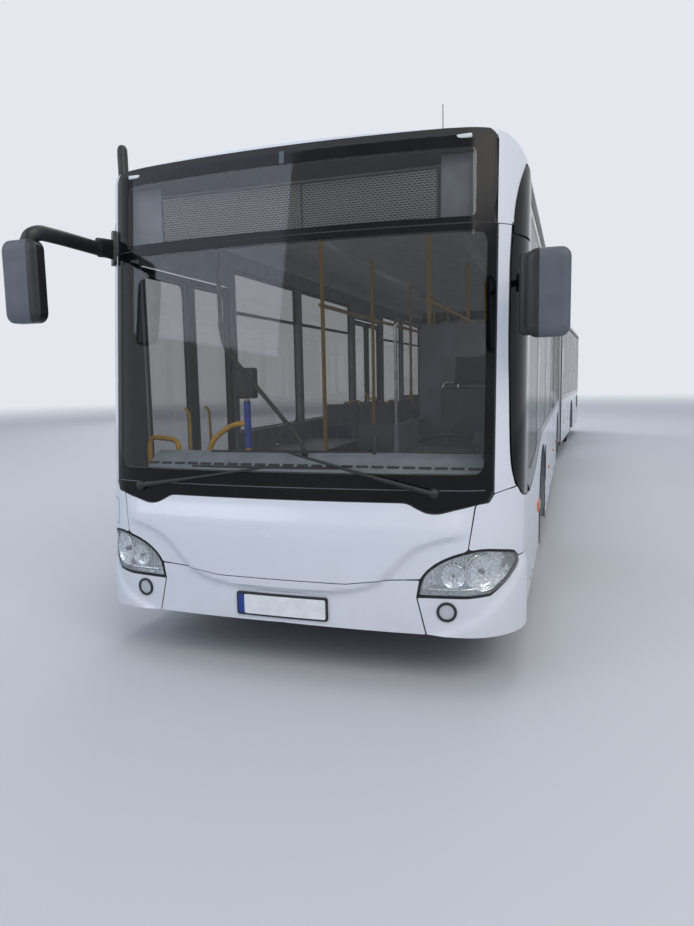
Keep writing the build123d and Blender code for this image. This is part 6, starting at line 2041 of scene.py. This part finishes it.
def onDashLip(x, along, out=0.0):
    # the sloping front edge of the dash, along runs up and back
    c, s = math.cos(cab["lipTurn"]), math.sin(cab["lipTurn"])
    return at(x, cab["lipStation"] + along * c - out * s, cab["lipHeight"] + along * s + out * c)


def makeDashFittings():
    slots, x = [], cab["slotFrom"]
    while x < cab["slotTo"]:
        end = min(x + cab["slotPitch"] - cab["slotGap"], cab["slotTo"])
        slots.append(rectangle(x, end, cab["slotLow"], cab["slotHigh"]))
        x += cab["slotPitch"]
    platePiece("DefrostSlots", slots, onDashLip, "front_section", dashDark, 0.0005, 0.003, 0.007, 0.0006)
    bm = bmesh.new()                                         # soft pad over the whole width of the dash; its pale grey is partly painted sky light
    addProfile(bm, cab["pad"], cab["padLeft"], cab["padRight"], 0.005)
    finishPiece(bm, "DashTopPad", [dashTopPaintedSkylight], "front_section", 30)
    bm = bmesh.new()                                         # instrument hood, its face towards the wheel
    addProfile(bm, cab["hood"], 0.650, 1.010, 0.012)
    addProfile(bm, cab["face"], 0.672, 0.988, 0.002, 1)
    for x in (0.745, 0.915):
        addTurned(bm, [(0.036, -0.004), (0.036, 0.003), (0.033, 0.0045), (0.030, 0.003)], at(x, 0.5350, 1.184),
                  (0, 1, -0.14), 32, 2)
    finishPiece(bm, "InstrumentHood", [dashDark, blackGlass, brightMetal], "front_section")
    bm = bmesh.new()
    for x, station, z, wide, tall in cab["screens"]:
        left, right, low, high = x - wide / 2, x + wide / 2, z - tall / 2, z + tall / 2
        addBox(bm, at(left, station, low), at(right, station + 0.030, high), 0.010, 0, 3)
        addBox(bm, at(left + 0.012, station + 0.0285, low + 0.012), at(right - 0.012, station + 0.0315, high - 0.012),
               0.002, 1, 1)
        stalk = [at(x, station - 0.020, 1.200), at(x, station - 0.018, z - 0.04), at(x, station + 0.004, z)]
        addPipe(bm, stalk, 0.011, 0.03, 12)
    finishPiece(bm, "DashScreens", [blackPlastic, blackGlass], "front_section")
    bm = bmesh.new()                                         # the slanting stay from the dash up to the header
    addPipe(bm, [at(*spot) for spot in cab["stay"]], 0.0135, 0.10, 16)
    for spot in cab["stayClamps"]:
        addTurned(bm, [(0.014, -0.022), (0.0185, -0.020), (0.0185, 0.020), (0.014, 0.022)], at(*spot), (0, 0, 1), 20, 1)
    finishPiece(bm, "ScreenStay", [castBlack, blackPlastic], "front_section", 40)


def makeEntranceRails():
    bm = bmesh.new()
    station = cab["railStation"]
    for radius, bend, segments, points in cab["rails"]:
        addPipe(bm, [at(x, station, z) for x, z in points], radius, bend, segments)
    # blue sleeve on the post, floor flanges, and the ticket validator with its window
    addTurned(bm, [(0.0175, -0.146), (0.0215, -0.143), (0.0215, 0.143), (0.0175, 0.146)], at(-0.414, station, 1.383),
              (0, 0, 1), 28, 1)
    for x in cab["flanges"]:
        addTurned(bm, [(0.018, 0.012), (0.034, 0.008), (0.036, 0.0), (0.018, 0.0)], at(x, station, 0.3512),
                  (0, 0, 1), 24, 2)
    addBox(bm, at(-0.480, 0.462, 1.545), at(-0.348, 0.535, 1.735), 0.016, 3, 4)
    addBox(bm, at(-0.462, 0.5335, 1.620), at(-0.366, 0.5385, 1.715), 0.003, 4, 1)
    finishPiece(bm, "EntranceRails", [railYellow, postBlue, brightMetal, blackPlastic, blackGlass], "front_section")


def onCabin(station, z, out=0.0):
    return at(cab["glassX"] + out, station, z)


def makeCabinScreen():
    platePiece("CabinGlassPane", [rectangle(*cab["glass"])], onCabin, "front_section", cabinGlass, 0.0, 0.008,
               0.045, 0.001)
    bm = bmesh.new()
    addPipe(bm, [at(0.4145, 1.010, 1.352), at(0.4145, 1.010, 2.035), at(0.4145, 1.8185, 2.035)], 0.011, 0.05, 14)
    finishPiece(bm, "CabinGlassRail", [brightMetal], "front_section")


makeDashFittings()
makeEntranceRails()
makeCabinScreen()


# Ceiling lights, and stop buttons on the posts

ceiling = {"lightNear": 0.520, "lightFar": 0.640, "drop": -0.0780, "thick": 0.0165, "buttonHeight": 1.420}


def makeCeiling(name, spans, body):
    near, far = ceiling["lightNear"], ceiling["lightFar"]
    outlines = [rectangle(left, right, *span) for span in spans for left, right in ((-far, -near), (near, far))]
    platePiece(name, outlines, onShell, body, whiteLens, ceiling["drop"], ceiling["thick"], 0.012, 0.004, segments=3)


def makeStopButtons(name, places, body):
    # a clamp round the post, a socket facing the aisle and the button in it
    bm = bmesh.new()
    for x, station in places:
        post, way = at(x, station, ceiling["buttonHeight"]), Vector((-math.copysign(1, x), 0, 0))
        spot = post + way * 0.0222
        addTurned(bm, [(0.0175, -0.052), (0.0225, -0.046), (0.0225, 0.046), (0.0175, 0.052)], post, (0, 0, 1), 24)
        addTurned(bm, [(0.0165, -0.004), (0.0165, 0.006), (0.0135, 0.008)], spot, way, 24)
        addTurned(bm, [(0.0135, 0.006), (0.0125, 0.0105), (0.0005, 0.0120)], spot, way, 24, 1)
    finishPiece(bm, name, [railYellow, buttonRed], body)


makeCeiling("CeilingLightsFront", [(1.95, 3.90), (3.95, 5.90), (5.95, 7.90), (7.95, 9.50)], "front_section")
makeCeiling("CeilingLightsRear", [(11.10, 13.10), (13.15, 15.15), (15.20, 17.20)], "rear_section")
makeStopButtons("StopButtonsFront", [(0.440, 4.100), (0.440, 7.100), (-0.440, 3.500), (-0.440, 5.250), (-0.440, 6.800),
                                     (0.440, 9.400)], "front_section")
makeStopButtons("StopButtonsRear", [(0.440, 12.700), (-0.440, 11.200), (-0.440, 13.200), (0.440, 13.900)],
                "rear_section")
print("cab and ceiling fittings made")

print("bus finished")
